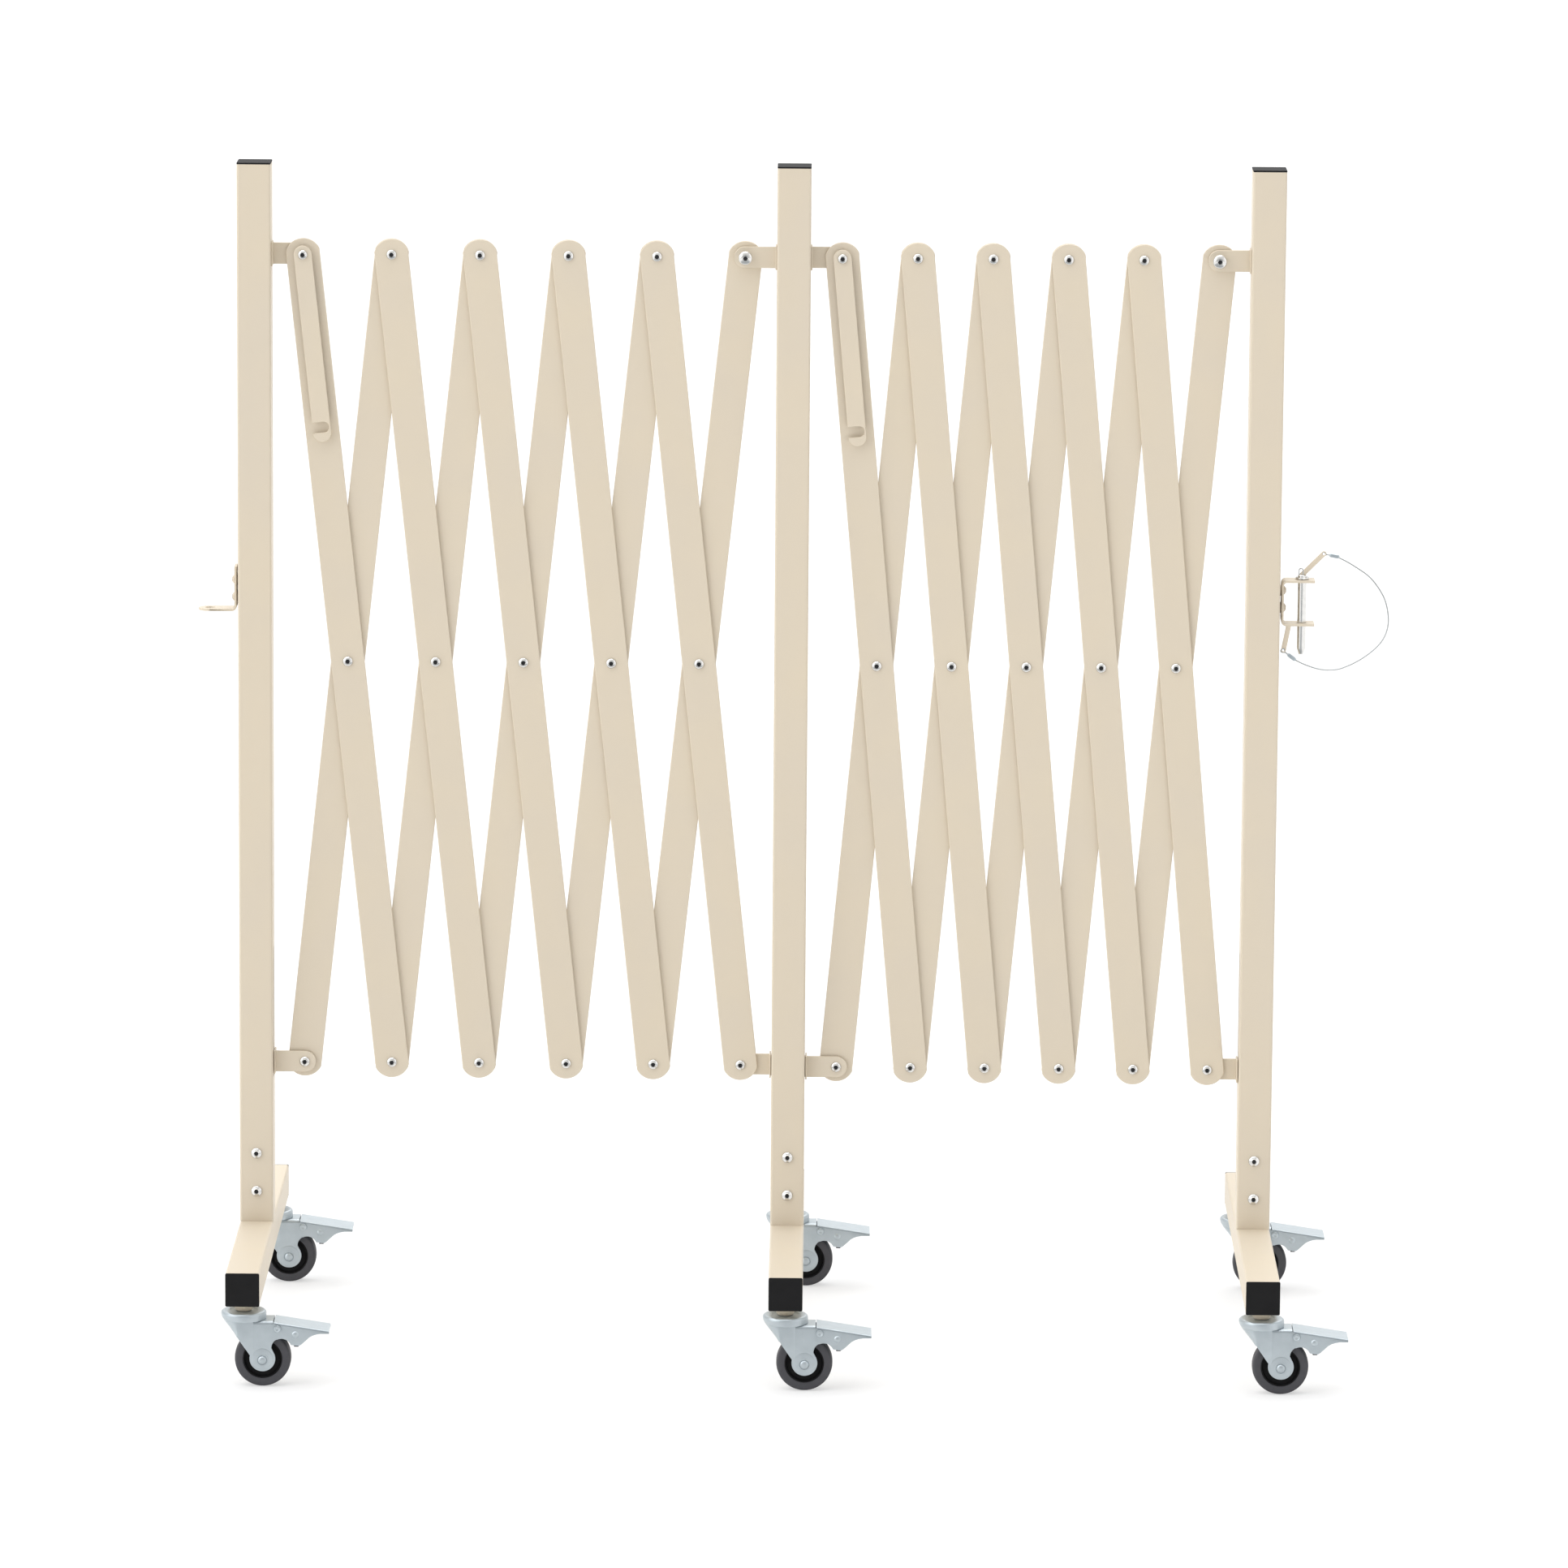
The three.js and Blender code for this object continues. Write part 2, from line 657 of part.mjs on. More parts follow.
function skirtShape() {
  const sink = pedalSheet / 2;
  const shape = new THREE.Shape();
  shape.moveTo(pedalStart, topLine(0) - sink);
  for (const share of skirtStartShares) shape.lineTo(...onSkirt(share));
  shape.absarc(reliefX, reliefZ, reliefRadius, reliefStart, reliefEnd, true);
  for (const share of skirtLobeShares) shape.lineTo(...onSkirt(share));
  shape.lineTo(pedalStart + pedalLength, topLine(1) - 2 * pedalSheet);
  shape.lineTo(pedalStart + pedalLength, topLine(1) - sink);
  shape.closePath();
  return shape;
}

function pedalTopShape() {
  const end = pedalStart + pedalLength;
  const shape = new THREE.Shape();
  shape.moveTo(pedalStart, topLine(0));
  shape.lineTo(pedalStart, topLine(0) - pedalSheet);
  shape.lineTo(end, topLine(1) - pedalSheet);
  shape.lineTo(end, topLine(1));
  shape.closePath();
  return shape;
}

// A brake pedal: a folded channel over the fork, with the pad that it presses on the tread
function pedal() {
  const inside = skirtOutside - pedalSheet;
  const padX = axleTrail + wheelRadius + padGap;
  const padZ = onSkirt(skirtLobeShares[0])[1] - padStandOut;
  const top = sheet(pedalTopShape(), [-skirtOutside, skirtOutside]);
  const front = sheet(skirtShape(), [-skirtOutside, -inside]);
  const rear = sheet(skirtShape(), [inside, skirtOutside]);
  const pad = block([padX, padX + padLength], [-inside - weld, inside + weld], [padZ, padZ + padHeight]);
  const dimpleBase = skirtOutside - weld;
  const [dimpleX, dimpleZ] = onSkirt(dimpleShare);
  const dimples = joined([
    rodY([-skirtOutside - dimpleHeight, -dimpleBase], dimpleRadius - dimpleHeight, dimpleRadius),
    rodY([dimpleBase, skirtOutside + dimpleHeight], dimpleRadius, dimpleRadius - dimpleHeight),
  ]).translate([dimpleX, 0, dimpleZ]);
  const hole = rodY([-skirtOutside - overrun, skirtOutside + overrun], boreRadius(pivotRadius));
  return joined([top, front, rear, pad, dimples]).subtract(hole.translate([pivotX, 0, pivotZ]));
}

// Two screws that hold a hitch off a post's side on thick washers, drawn for a hitch on +X
function hitchScrews(lowScrew) {
  const seat = halfTube + hitchStandOff;
  const face = seat + hitchThickness;
  const washer = rodX([halfTube, seat + weld], hitchWasherRadius, hitchWasherRadius, screwSides);
  const head = rodX([face - weld, face + hitchScrewHeadHeight], hitchScrewRadius + headTaper,
    hitchScrewRadius, screwSides);
  const shank = rodX([halfTube - tubeWall - hitchScrewPast, face], hitchScrewRadius);
  const screw = joined([head, shank, washer]);
  return joined([
    screw.translate([0, 0, lowScrew]),
    screw.translate([0, 0, lowScrew + hitchScrewPitch]),
  ]);
}

// The left hitch, a bent tab with a round end and a hole for the next barrier's pin
function hitchTab() {
  const halfWidth = hitchWidth / 2;
  const bottom = footHeight + tabHeight;
  const seat = halfTube + hitchStandOff;
  const tip = halfTube + tabReach - halfWidth;
  const shape = new THREE.Shape();
  shape.moveTo(seat, -halfWidth);
  shape.absarc(tip, 0, halfWidth, -Math.PI / 2, Math.PI / 2);
  shape.lineTo(seat, halfWidth);
  shape.closePath();
  const geometry = new THREE.ExtrudeGeometry(shape, {
    depth: hitchThickness, bevelEnabled: false, curveSegments: endCapSteps,
  });
  geometry.translate(0, 0, bottom);
  const holeRadius = (lockPinRadius + tabHolePlay) / Math.cos(Math.PI / screwSides);
  const top = bottom + hitchThickness;
  const hole = rodZ([bottom - overrun, top + overrun], holeRadius, holeRadius, screwSides);
  const leg = block([seat, seat + hitchThickness], [-halfWidth, halfWidth], [bottom, bottom + tabLegHeight]);
  return joined([solidOf(geometry), leg, hitchScrews(bottom + tabScrewRise)])
    .subtract(hole.translate([halfTube + tabHoleReach, 0, 0]));
}

// A flat link drilled at its far end, drawn in the X-Z plane from the origin
function flatLink(x, z) {
  const length = Math.hypot(x, z);
  const half = linkWidth / 2;
  const shape = new THREE.Shape();
  shape.moveTo(-half, -half);
  shape.absarc(length, 0, half, -Math.PI / 2, Math.PI / 2);
  shape.lineTo(-half, half);
  shape.closePath();
  const eye = rodY([-linkThickness, linkThickness], linkEyeRadius);
  const link = sheet(shape, [-linkThickness / 2, linkThickness / 2]).subtract(eye.translate([length, 0, 0]));
  return link.rotate([0, -THREE.MathUtils.radToDeg(Math.atan2(z, x)), 0]);
}

// The right hitch, a forked bracket whose arms are drilled for the locking pin
function clevis() {
  const halfWidth = hitchWidth / 2;
  const lowerTop = footHeight + clevisHeight;
  const bottom = lowerTop - hitchThickness;
  const top = lowerTop + clevisOpening;
  const width = [-halfWidth, halfWidth];
  const seat = halfTube + hitchStandOff;
  const end = halfTube + clevisReach;
  const web = block([seat, seat + hitchThickness], width, [bottom, top + hitchThickness]);
  const lower = block([seat, end], width, [bottom, lowerTop]);
  const upper = block([seat, end], width, [top, top + hitchThickness]);
  const hole = rodZ([bottom - overrun, top + hitchThickness + overrun], boreRadius(lockPinRadius));
  const link = flatLink(-bracketLinkSlant, -bracketLinkDrop)
    .translate([halfTube + bracketLinkPlace, -halfWidth + linkThickness, lowerTop - linkWidth / 2]);
  return joined([web, lower, upper, link, hitchScrews(lowerTop + clevisScrewRise)])
    .subtract(hole.translate([halfTube + lockPinReach, 0, 0]));
}

// The locking pin, hung by its collar on the bracket's upper arm
function lockPin() {
  const seat = footHeight + clevisHeight + clevisOpening + hitchThickness + restGap;
  const tip = seat - lockPinLength;
  const collarTop = seat + collarHeight;
  return joined([
    rodZ([tip, tip + lockPinTip], lockPinTipRadius, lockPinRadius),
    rodZ([tip + lockPinTip - weld, collarTop + collarHeight], lockPinRadius),
    rodZ([seat, collarTop], lockPinRadius + collarOverhang),
    flatLink(pinLinkReach, pinLinkRise).translate([0, 0, collarTop]),
  ]).translate([halfTube + lockPinReach, 0, 0]);
}

// The wire rope between the pin's link and the bracket's link: points chosen along its hanging
// loop, counted from the right post's middle at its foot
const ropeRoute = [
  [56.7, 0, 613.4],
  [63.7, -0.6, 612.2],
  [71.7, -1.4, 608.8],
  [81.8, -2.2, 603.1],
  [94.1, -3, 594.6],
  [102.9, -3.4, 584.2],
  [109.2, -3.6, 572.4],
  [112.1, -3.7, 558.2],
  [111.2, -3.8, 546.4],
  [106.6, -4, 536.2],
  [97.7, -4.3, 526.8],
  [84.7, -4.8, 517.8],
  [70.6, -5.4, 511.6],
  [60.1, -5.9, 510.2],
  [50.4, -6.4, 511.2],
  [39.6, -7, 514.6],
  [29.6, -7.7, 519.4],
  [20.9, -8.4, 526],
];

function lanyard() {
  const points = ropeRoute.map(([x, y, z]) => new THREE.Vector3(x, y, footHeight + z));
  const route = new THREE.CatmullRomCurve3(points, false, 'centripetal');
  const section = new THREE.Shape();
  section.absarc(0, 0, ropeRadius, 0, 2 * Math.PI);
  return new THREE.ExtrudeGeometry(section, {
    steps: ropeSteps, extrudePath: route, curveSegments: ropeSides / 2, bevelEnabled: false,
  });
}

// Assembly
const barrier = new THREE.Group();

function place(name, solid, material, parent, position = [0, 0, 0], tilt = 0) {
  const geometry = solid.isBufferGeometry ? solid : geometryOf(solid);
  const mesh = new THREE.Mesh(geometry, material);
  mesh.name = name;
  mesh.position.set(...position);
  mesh.rotation.y = tilt;
  parent.add(mesh);
  return mesh;
}

// side is 1 where the lattice lies on the post's right. Left ends hold back-layer arms at the top
// and front-layer ones at the bottom, and right ends the other way round.
const leftEnd = { side: 1, topInFront: false };
const rightEnd = { side: -1, topInFront: true };
const tabOnLeft = { side: -1, lowScrew: footHeight + tabHeight + tabScrewRise };
const bracketOnRight = { side: 1, lowScrew: footHeight + clevisHeight + clevisScrewRise };
const posts = [
  { name: 'left', arms: [leftEnd], hitch: tabOnLeft },
  { name: 'middle', arms: [rightEnd, leftEnd] },
  { name: 'right', arms: [rightEnd], hitch: bracketOnRight },
];

for (const { name, arms, hitch } of posts) {
  const stand = new THREE.Group();
  stand.position.x = postX[name];
  barrier.add(stand);
  place(`${name}_post`, post(arms, hitch), powderCoat, stand);
  place(`${name}_post_cap`, tubeCap(), blackPlastic, stand, [0, 0, postTop]);
  place(`${name}_beam`, beam(), powderCoat, stand);
  const endCap = tubeCap().rotate([90, 0, 0]);
  place(`${name}_beam_cap`, endCap, blackPlastic, stand,
    [0, -beamLength / 2 + capThickness, casterHeight + halfTube]);
  for (const [end, y] of [['front', -stemPlace], ['rear', stemPlace]]) {
    place(`${name}_${end}_fork`, fork(), zincPlate, stand, [0, y, 0]);
    place(`${name}_${end}_brake_pedal`, pedal(), zincPlate, stand, [0, y, 0]);
    place(`${name}_${end}_wheel`, wheel(), greyTyre, stand, [axleTrail, y, wheelRadius]);
  }
}

const leftHitch = hitchTab().mirror([1, 0, 0]);
place('hitch_tab', leftHitch, powderCoat, barrier, [postX.left, 0, 0]);
place('hitch_bracket', clevis(), powderCoat, barrier, [postX.right, 0, 0]);
place('locking_pin', lockPin(), pinSteel, barrier, [postX.right, 0, 0]);
place('pin_lanyard', lanyard(), wireRope, barrier, [postX.right, 0, 0]);

// A lattice spans from its first post to its second; bars are numbered from the first
const lattices = [
  { name: 'left', from: postX.left, to: postX.middle },
  { name: 'right', from: postX.middle, to: postX.right },
];

for (const { name, from, to } of lattices) {
  const first = from + pinToPost;
  const pitch = (to - pinToPost - first) / crossings;
  const tilt = Math.asin(pitch / pinToPin);
  const drop = pinToPin * Math.cos(tilt);
  const middle = topPinHeight - drop / 2;
  for (let i = 1; i <= crossings; i += 1) {
    const x = first + (i - 0.5) * pitch;
    place(`${name}_front_bar_${i}`, frontBar(i === 1), powderCoat, barrier, [x, 0, middle], -tilt);
    place(`${name}_back_bar_${i}`, backBar(), powderCoat, barrier, [x, 0, middle], tilt);
  }
  place(`${name}_hook_strap`, hookStrap(), powderCoat, barrier, [first, 0, topPinHeight], -tilt);
  place(`${name}_lattice_first_slider`, slidingArm(1, true), powderCoat, barrier,
    [from, 0, topPinHeight - drop]);
  place(`${name}_lattice_last_slider`, slidingArm(-1, false), powderCoat, barrier,
    [to, 0, topPinHeight - drop]);
}

export default barrier;
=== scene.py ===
# An expanding safety barrier on casters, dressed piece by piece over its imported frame.
# X runs along the barrier, Y away from its front and Z up, in metres. Sizes are written in mm.

import json
import math

import bmesh
import bpy
from mathutils import Matrix, Vector

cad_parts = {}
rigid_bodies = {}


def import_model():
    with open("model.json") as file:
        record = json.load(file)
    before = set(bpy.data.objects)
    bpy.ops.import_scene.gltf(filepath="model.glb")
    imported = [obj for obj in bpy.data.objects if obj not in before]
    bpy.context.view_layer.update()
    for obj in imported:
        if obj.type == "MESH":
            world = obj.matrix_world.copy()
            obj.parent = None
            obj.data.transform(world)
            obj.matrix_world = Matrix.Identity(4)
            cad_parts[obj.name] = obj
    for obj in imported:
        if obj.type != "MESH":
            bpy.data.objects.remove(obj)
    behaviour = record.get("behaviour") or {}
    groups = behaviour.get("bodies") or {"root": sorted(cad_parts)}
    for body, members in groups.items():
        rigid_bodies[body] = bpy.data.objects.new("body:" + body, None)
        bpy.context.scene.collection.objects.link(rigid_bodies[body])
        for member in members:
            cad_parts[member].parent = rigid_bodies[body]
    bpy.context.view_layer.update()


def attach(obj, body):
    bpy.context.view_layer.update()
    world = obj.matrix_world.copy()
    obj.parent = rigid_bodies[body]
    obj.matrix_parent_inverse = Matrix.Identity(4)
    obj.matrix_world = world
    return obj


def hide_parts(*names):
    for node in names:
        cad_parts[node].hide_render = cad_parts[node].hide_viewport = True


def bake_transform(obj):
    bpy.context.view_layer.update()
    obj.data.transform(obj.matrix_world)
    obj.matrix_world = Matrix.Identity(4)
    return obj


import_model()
mm = 0.001

# Beams: the three feet are square steel tube, 30 x 30 x 1.5 mm, laid front to back under the posts.
# Rolled tube has round corners. Two turned bosses for the casters and a square core for the post
# are welded on, and all of it is powder coated cream.
post_places = {"left": -461.5 * mm, "middle": 16.5 * mm, "right": 436.5 * mm}
tube_side = 30 * mm
tube_wall = 1.5 * mm
tube_corner = 2 * mm
tube_inner_corner = 1.2 * mm
cut_edge = 0.15 * mm
join_within = 0.002 * mm
sharp_angle = math.radians(40)
caster_height = 75 * mm
beam_length = 437 * mm
foot_height = caster_height + tube_side
core_side = 26.4 * mm
core_wall = 2 * mm
core_height = 85 * mm
stem_place = 199 * mm
boss_radius = 11 * mm
boss_foot_radius = 7.2 * mm
boss_bore_radius = 5.4 * mm
boss_height = 7.5 * mm
boss_edge = 0.6 * mm
weld_bead = 0.9 * mm
coat_colour = "#CEC3B2"
coat_warm_colour = "#D4C7B0"
coat_roughness = 0.46
coat_drift = 70 * mm
coat_peel = 1.4 * mm
coat_peel_depth = 0.02 * mm


def linear(code):
    """The linear RGBA of an sRGB hex colour."""
    colour = []
    for start in (1, 3, 5):
        share = int(code[start:start + 2], 16) / 255
        colour.append(share / 12.92 if share <= 0.04045 else ((share + 0.055) / 1.055) ** 2.4)
    return (*colour, 1)


def add_node(material, kind, values=None, links=None, **settings):
    """Adds a node, with values and links for its inputs and with its own settings."""
    node = material.node_tree.nodes.new(kind)
    for setting, value in settings.items():
        setattr(node, setting, value)
    for socket, value in (values or {}).items():
        node.inputs[socket].default_value = value
    for socket, output in (links or {}).items():
        material.node_tree.links.new(output, node.inputs[socket])
    return node


def new_finish(name, slot):
    """An empty material that stands for one of the part's finishes."""
    material = bpy.data.materials.new(name)
    material.use_nodes = True
    material.node_tree.nodes.clear()
    material["slot"] = slot
    return material


def arc(centre, radius, start, end, steps=8):
    """Points along an arc, from one angle to another in degrees."""
    points = []
    for step in range(steps + 1):
        angle = math.radians(start + (end - start) * step / steps)
        points.append((centre[0] + radius * math.cos(angle), centre[1] + radius * math.sin(angle)))
    return points


def rounded_square(side, corner):
    """The section of a square tube."""
    flat = side / 2 - corner
    outline = []
    for turn, (x, y) in enumerate([(1, 1), (-1, 1), (-1, -1), (1, -1)]):
        outline += arc((x * flat, y * flat), corner, 90 * turn, 90 * turn + 90)
    return outline


def plate(outlines, thickness, edge=cut_edge):
    """A flat plate centred on the X-Y plane, with rounded edges; outlines after the first are holes."""
    curve = bpy.data.curves.new("outline", "CURVE")
    curve.dimensions = "2D"
    curve.fill_mode = "BOTH"
    curve.extrude = thickness / 2 - edge
    curve.bevel_depth = edge
    curve.bevel_resolution = 2
    curve.offset = -edge
    for outline in outlines:
        spline = curve.splines.new("POLY")
        spline.points.add(len(outline) - 1)
        for point, (x, y) in zip(spline.points, outline):
            point.co = (x, y, 0, 1)
        spline.use_cyclic_u = True
    holder = bpy.data.objects.new("outline", curve)
    mesh = bpy.data.meshes.new_from_object(holder)
    bpy.data.objects.remove(holder)
    bpy.data.curves.remove(curve)
    return mesh


def tube(length, side, inside, corner, inner_corner):
    """A square tube along Z."""
    return plate([rounded_square(side, corner), rounded_square(inside, inner_corner)], length)


def lofted(rings, closed=False):
    """A closed skin over rings of equally many points; closed joins the last ring to the first."""
    form = bmesh.new()
    loops = [[form.verts.new(point) for point in ring] for ring in rings]
    pairs = list(zip(loops, loops[1:]))
    if closed:
        pairs.append((loops[-1], loops[0]))
    else:
        form.faces.new(reversed(loops[0]))
        form.faces.new(loops[-1])
    for lower, upper in pairs:
        for i, start in enumerate(lower):
            j = (i + 1) % len(lower)
            form.faces.new((start, lower[j], upper[j], upper[i]))
    mesh = bpy.data.meshes.new("skin")
    form.to_mesh(mesh)
    form.free()
    return mesh


def turned(profile, sides=48, hexagonal=()):
    """A closed profile of (radius, height) turned about Z; listed points follow a hexagon instead."""
    rings = []
    for step in range(sides):
        angle = math.radians(360 * step / sides)
        flat = math.cos(math.pi / 6) / math.cos(angle % (math.pi / 3) - math.pi / 6)
        ring = []
        for i, (radius, height) in enumerate(profile):
            reach = radius * flat if i in hexagonal else radius
            ring.append((reach * math.cos(angle), reach * math.sin(angle), height))
        rings.append(ring)
    return lofted(rings, closed=True)


def piece(name, body, finish, parts, shade_inlay=None):
    """One object from meshes at their places, which rides on a body; a second material, if given, paints the
    shade in its sockets.
    """
    form = bmesh.new()
    for mesh, place in parts:
        first = len(form.verts)
        form.from_mesh(mesh)
        form.verts.ensure_lookup_table()
        bmesh.ops.transform(form, matrix=place, verts=form.verts[first:])
    bmesh.ops.remove_doubles(form, verts=form.verts, dist=join_within)
    bmesh.ops.recalc_face_normals(form, faces=form.faces)
    mesh = bpy.data.meshes.new(name)
    form.to_mesh(mesh)
    form.free()
    mesh.shade_smooth()
    mesh.set_sharp_from_angle(angle=sharp_angle)
    mesh.materials.append(finish)
    if shade_inlay:
        mesh.materials.append(shade_inlay)
    obj = bpy.data.objects.new(name, mesh)
    bpy.context.scene.collection.objects.link(obj)
    obj.modifiers.new("Even shading", "WEIGHTED_NORMAL").keep_sharp = True
    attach(obj, body)
    return obj


def at(x, y, z):
    """The place at x, y and z."""
    return Matrix.Translation((x, y, z))


# Lays a form made along Z down along Y
along_y = Matrix.Rotation(math.radians(-90), 4, "X")

# Powder coat: a baked polyester film, satin, with the slight ripple of orange peel and a tone that
# drifts a little along the bar, as the film is thicker in places.
powder_coat = new_finish("Powder coated steel", "powder_coat")
spot = add_node(powder_coat, "ShaderNodeTexCoord").outputs["Object"]
drift = add_node(powder_coat, "ShaderNodeTexNoise", {"Scale": 1 / coat_drift, "Detail": 2}, {"Vector": spot})
tone = add_node(powder_coat, "ShaderNodeMixRGB",
                {"Color1": linear(coat_colour), "Color2": linear(coat_warm_colour)},
                {"Fac": drift.outputs["Fac"]})
peel = add_node(powder_coat, "ShaderNodeTexNoise", {"Scale": 1 / coat_peel, "Detail": 1}, {"Vector": spot})
ripple = add_node(powder_coat, "ShaderNodeBump", {"Strength": 0.5, "Distance": coat_peel_depth},
                  {"Height": peel.outputs["Fac"]})
film = add_node(powder_coat, "ShaderNodeBsdfPrincipled", {"Roughness": coat_roughness, "IOR": 1.5},
                {"Base Color": tone.outputs["Color"], "Normal": ripple.outputs["Normal"]})
add_node(powder_coat, "ShaderNodeOutputMaterial", links={"Surface": film.outputs["BSDF"]})

beam_tube = tube(beam_length, tube_side, tube_side - 2 * tube_wall, tube_corner, tube_inner_corner)
beam_core = tube(core_height, core_side, core_side - 2 * core_wall, tube_inner_corner, tube_inner_corner / 2)
beam_boss = turned([
    (boss_bore_radius, 0),
    (boss_foot_radius - boss_edge, 0),
    (boss_foot_radius - boss_edge / 3, boss_edge / 3),
    (boss_foot_radius, boss_edge),
    (boss_radius, boss_height - weld_bead),
    (boss_radius + weld_bead, boss_height),
    (boss_bore_radius, boss_height),
])
for stand, x in post_places.items():
    middle = at(x, 0, caster_height + tube_side / 2)
    parts = [(beam_tube, middle @ along_y), (beam_core, at(x, 0, foot_height + core_height / 2))]
    for y in (-stem_place, stem_place):
        parts.append((beam_boss, at(x, y, caster_height - boss_height)))
    beam = piece(f"{stand}_beam_weldment", f"{stand}_stand", powder_coat, parts)
    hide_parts(f"{stand}_beam")

# Caps: moulded black plugs of polyethylene that are pressed into the open ends of the beams and
# into the tops of the posts. Each has a flat plate with a soft edge and a thin-walled plug.
cap_thickness = 1.5 * mm
cap_edge = 0.4 * mm
cap_corner = 1.3 * mm
plug_side = 26.4 * mm
plug_wall = 2 * mm
plug_depth = 8 * mm
post_top = 1061.5 * mm
plastic_colour = "#161617"
plastic_worn_colour = "#1D1D1E"
plastic_roughness = 0.6
plastic_shine = 0.12
plastic_grain = 0.9 * mm
plastic_grain_depth = 0.03 * mm
plastic_cloud = 12 * mm

# Moulded polyethylene: black with a faint grey bloom, and the fine grain of an eroded mould. The
# real grain is about 0.2 mm; it is drawn coarser so that it shows.
black_plastic = new_finish("Moulded black polyethylene", "black_plastic")
spot = add_node(black_plastic, "ShaderNodeTexCoord").outputs["Object"]
bloom = add_node(black_plastic, "ShaderNodeTexNoise", {"Scale": 1 / plastic_cloud, "Detail": 3},
                 {"Vector": spot})
tone = add_node(black_plastic, "ShaderNodeMixRGB",
                {"Color1": linear(plastic_colour), "Color2": linear(plastic_worn_colour)},
                {"Fac": bloom.outputs["Fac"]})
grain = add_node(black_plastic, "ShaderNodeTexNoise", {"Scale": 1 / plastic_grain, "Detail": 2},
                 {"Vector": spot})
grained = add_node(black_plastic, "ShaderNodeBump", {"Strength": 0.4, "Distance": plastic_grain_depth},
                   {"Height": grain.outputs["Fac"]})
moulding = add_node(black_plastic, "ShaderNodeBsdfPrincipled",
                    {"Roughness": plastic_roughness, "IOR": 1.5, "Specular IOR Level": plastic_shine},
                    {"Base Color": tone.outputs["Color"], "Normal": grained.outputs["Normal"]})
add_node(black_plastic, "ShaderNodeOutputMaterial", links={"Surface": moulding.outputs["BSDF"]})

cap_plate = plate([rounded_square(tube_side, cap_corner)], cap_thickness, cap_edge)
cap_plug = tube(plug_depth, plug_side, plug_side - 2 * plug_wall, tube_inner_corner, tube_inner_corner / 2)
beam_end = beam_length / 2
for stand, x in post_places.items():
    for end, turn in (("front", 1), ("rear", -1)):
        place = at(x, -turn * beam_end, caster_height + tube_side / 2) @ Matrix.Rotation(
            math.radians(90 * turn), 4, "X")
        cap = piece(f"{stand}_beam_{end}_plug", f"{stand}_stand", black_plastic, [
            (cap_plate, place @ at(0, 0, cap_thickness / 2)),
            (cap_plug, place @ at(0, 0, -plug_depth / 2)),
        ])
        if end == "front":
            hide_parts(f"{stand}_beam_cap")
    top = at(x, 0, post_top)
    cap = piece(f"{stand}_post_plug", f"{stand}_stand", black_plastic, [
        (cap_plate, top @ at(0, 0, cap_thickness / 2)),
        (cap_plug, top @ at(0, 0, -plug_depth / 2)),
    ])
    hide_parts(f"{stand}_post_cap")

# Casters: a swivel fork of 1.8 mm sheet steel, drawn and folded, with a rolled bearing crown on top.
# The kingpin passes through the boss and takes its nut inside the beam. The fork is zinc plated.
fork_inside = 11 * mm
leg_thickness = 1.8 * mm
saddle_back = 8 * mm
fork_top = 60.2 * mm
fork_bend = 2.6 * mm
fork_edge = 0.35 * mm
axle_place = (17 * mm, 25 * mm)
axle_boss_place = (17.1 * mm, 26.2 * mm)
axle_boss_radius = 11.4 * mm
relief_place = (34 * mm, 35.8 * mm)
relief_radius = 9 * mm
pivot_place = (30.5 * mm, 53.8 * mm)
pivot_ear_radius = 3.5 * mm
fork_front = 26.7 * mm
crown_radius = 20 * mm
crown_height = 7.5 * mm
crown_shoulder = 2.5 * mm
crown_edge = 0.7 * mm
crown_draw_height = 5 * mm
crown_draw_share = 0.09
crown_wall_shares = (0, 0.25, 0.5, 0.75)
crown_dish_radius = 12.5 * mm
crown_dish = 0.5 * mm
kingpin_radius = 5 * mm
kingpin_nut_radius = 8.5 * mm
kingpin_nut_height = 6 * mm
kingpin_nut_place = 76.8 * mm
nut_chamfer = 1 * mm
# Heights, and how far the hood reaches behind the kingpin there, in mm
hood_reaches = [(60.2, 18.2), (58.6, 17.2), (57, 16), (54, 13.5), (51, 11.1), (48, 8.6), (45.6, 6.6)]
hood_steps = 24
rib_steps = 12
rib_height = 2 * mm
rib_left = -4.6 * mm
rib_right = 3.2 * mm
rib_slope_end = 8.9 * mm
rib_full = 41 * mm
rib_foot = 27 * mm
leg_knee = 45.2 * mm
leg_ankle = (5.5 * mm, 30.1 * mm)
axle_disc_radius = 9.4 * mm
axle_disc_height = 0.35 * mm
axle_washer_radius = 5.6 * mm
axle_washer_height = 0.7 * mm
axle_head_radius = 3.8 * mm
axle_head_height = 2.4 * mm
axle_head_shares = [(1, 0), (1, 0.4), (0.92, 0.65), (0.7, 0.87), (0.35, 1), (0, 1)]
axle_radius = 3 * mm
pivot_head_radius = 3.4 * mm
pivot_head_height = 1.3 * mm
pivot_head_face = 14.7 * mm
pivot_head_shares = [(0, 0), (1, 0), (1, 0.4), (0.9, 0.8), (0.6, 1), (0.45, 0.75), (0, 0.7)]
pivot_radius = 1.9 * mm
spring_slot = (17.5 * mm, -5 * mm)
spring_slot_length = 3 * mm
spring_slot_width = 1.4 * mm
zinc_colour = "#B6BFC4"
zinc_dull_colour = "#A8B1B6"
zinc_roughness_low = 0.31
zinc_roughness_high = 0.43
zinc_cloud = 9 * mm
zinc_grain = 0.7 * mm
zinc_grain_depth = 0.01 * mm

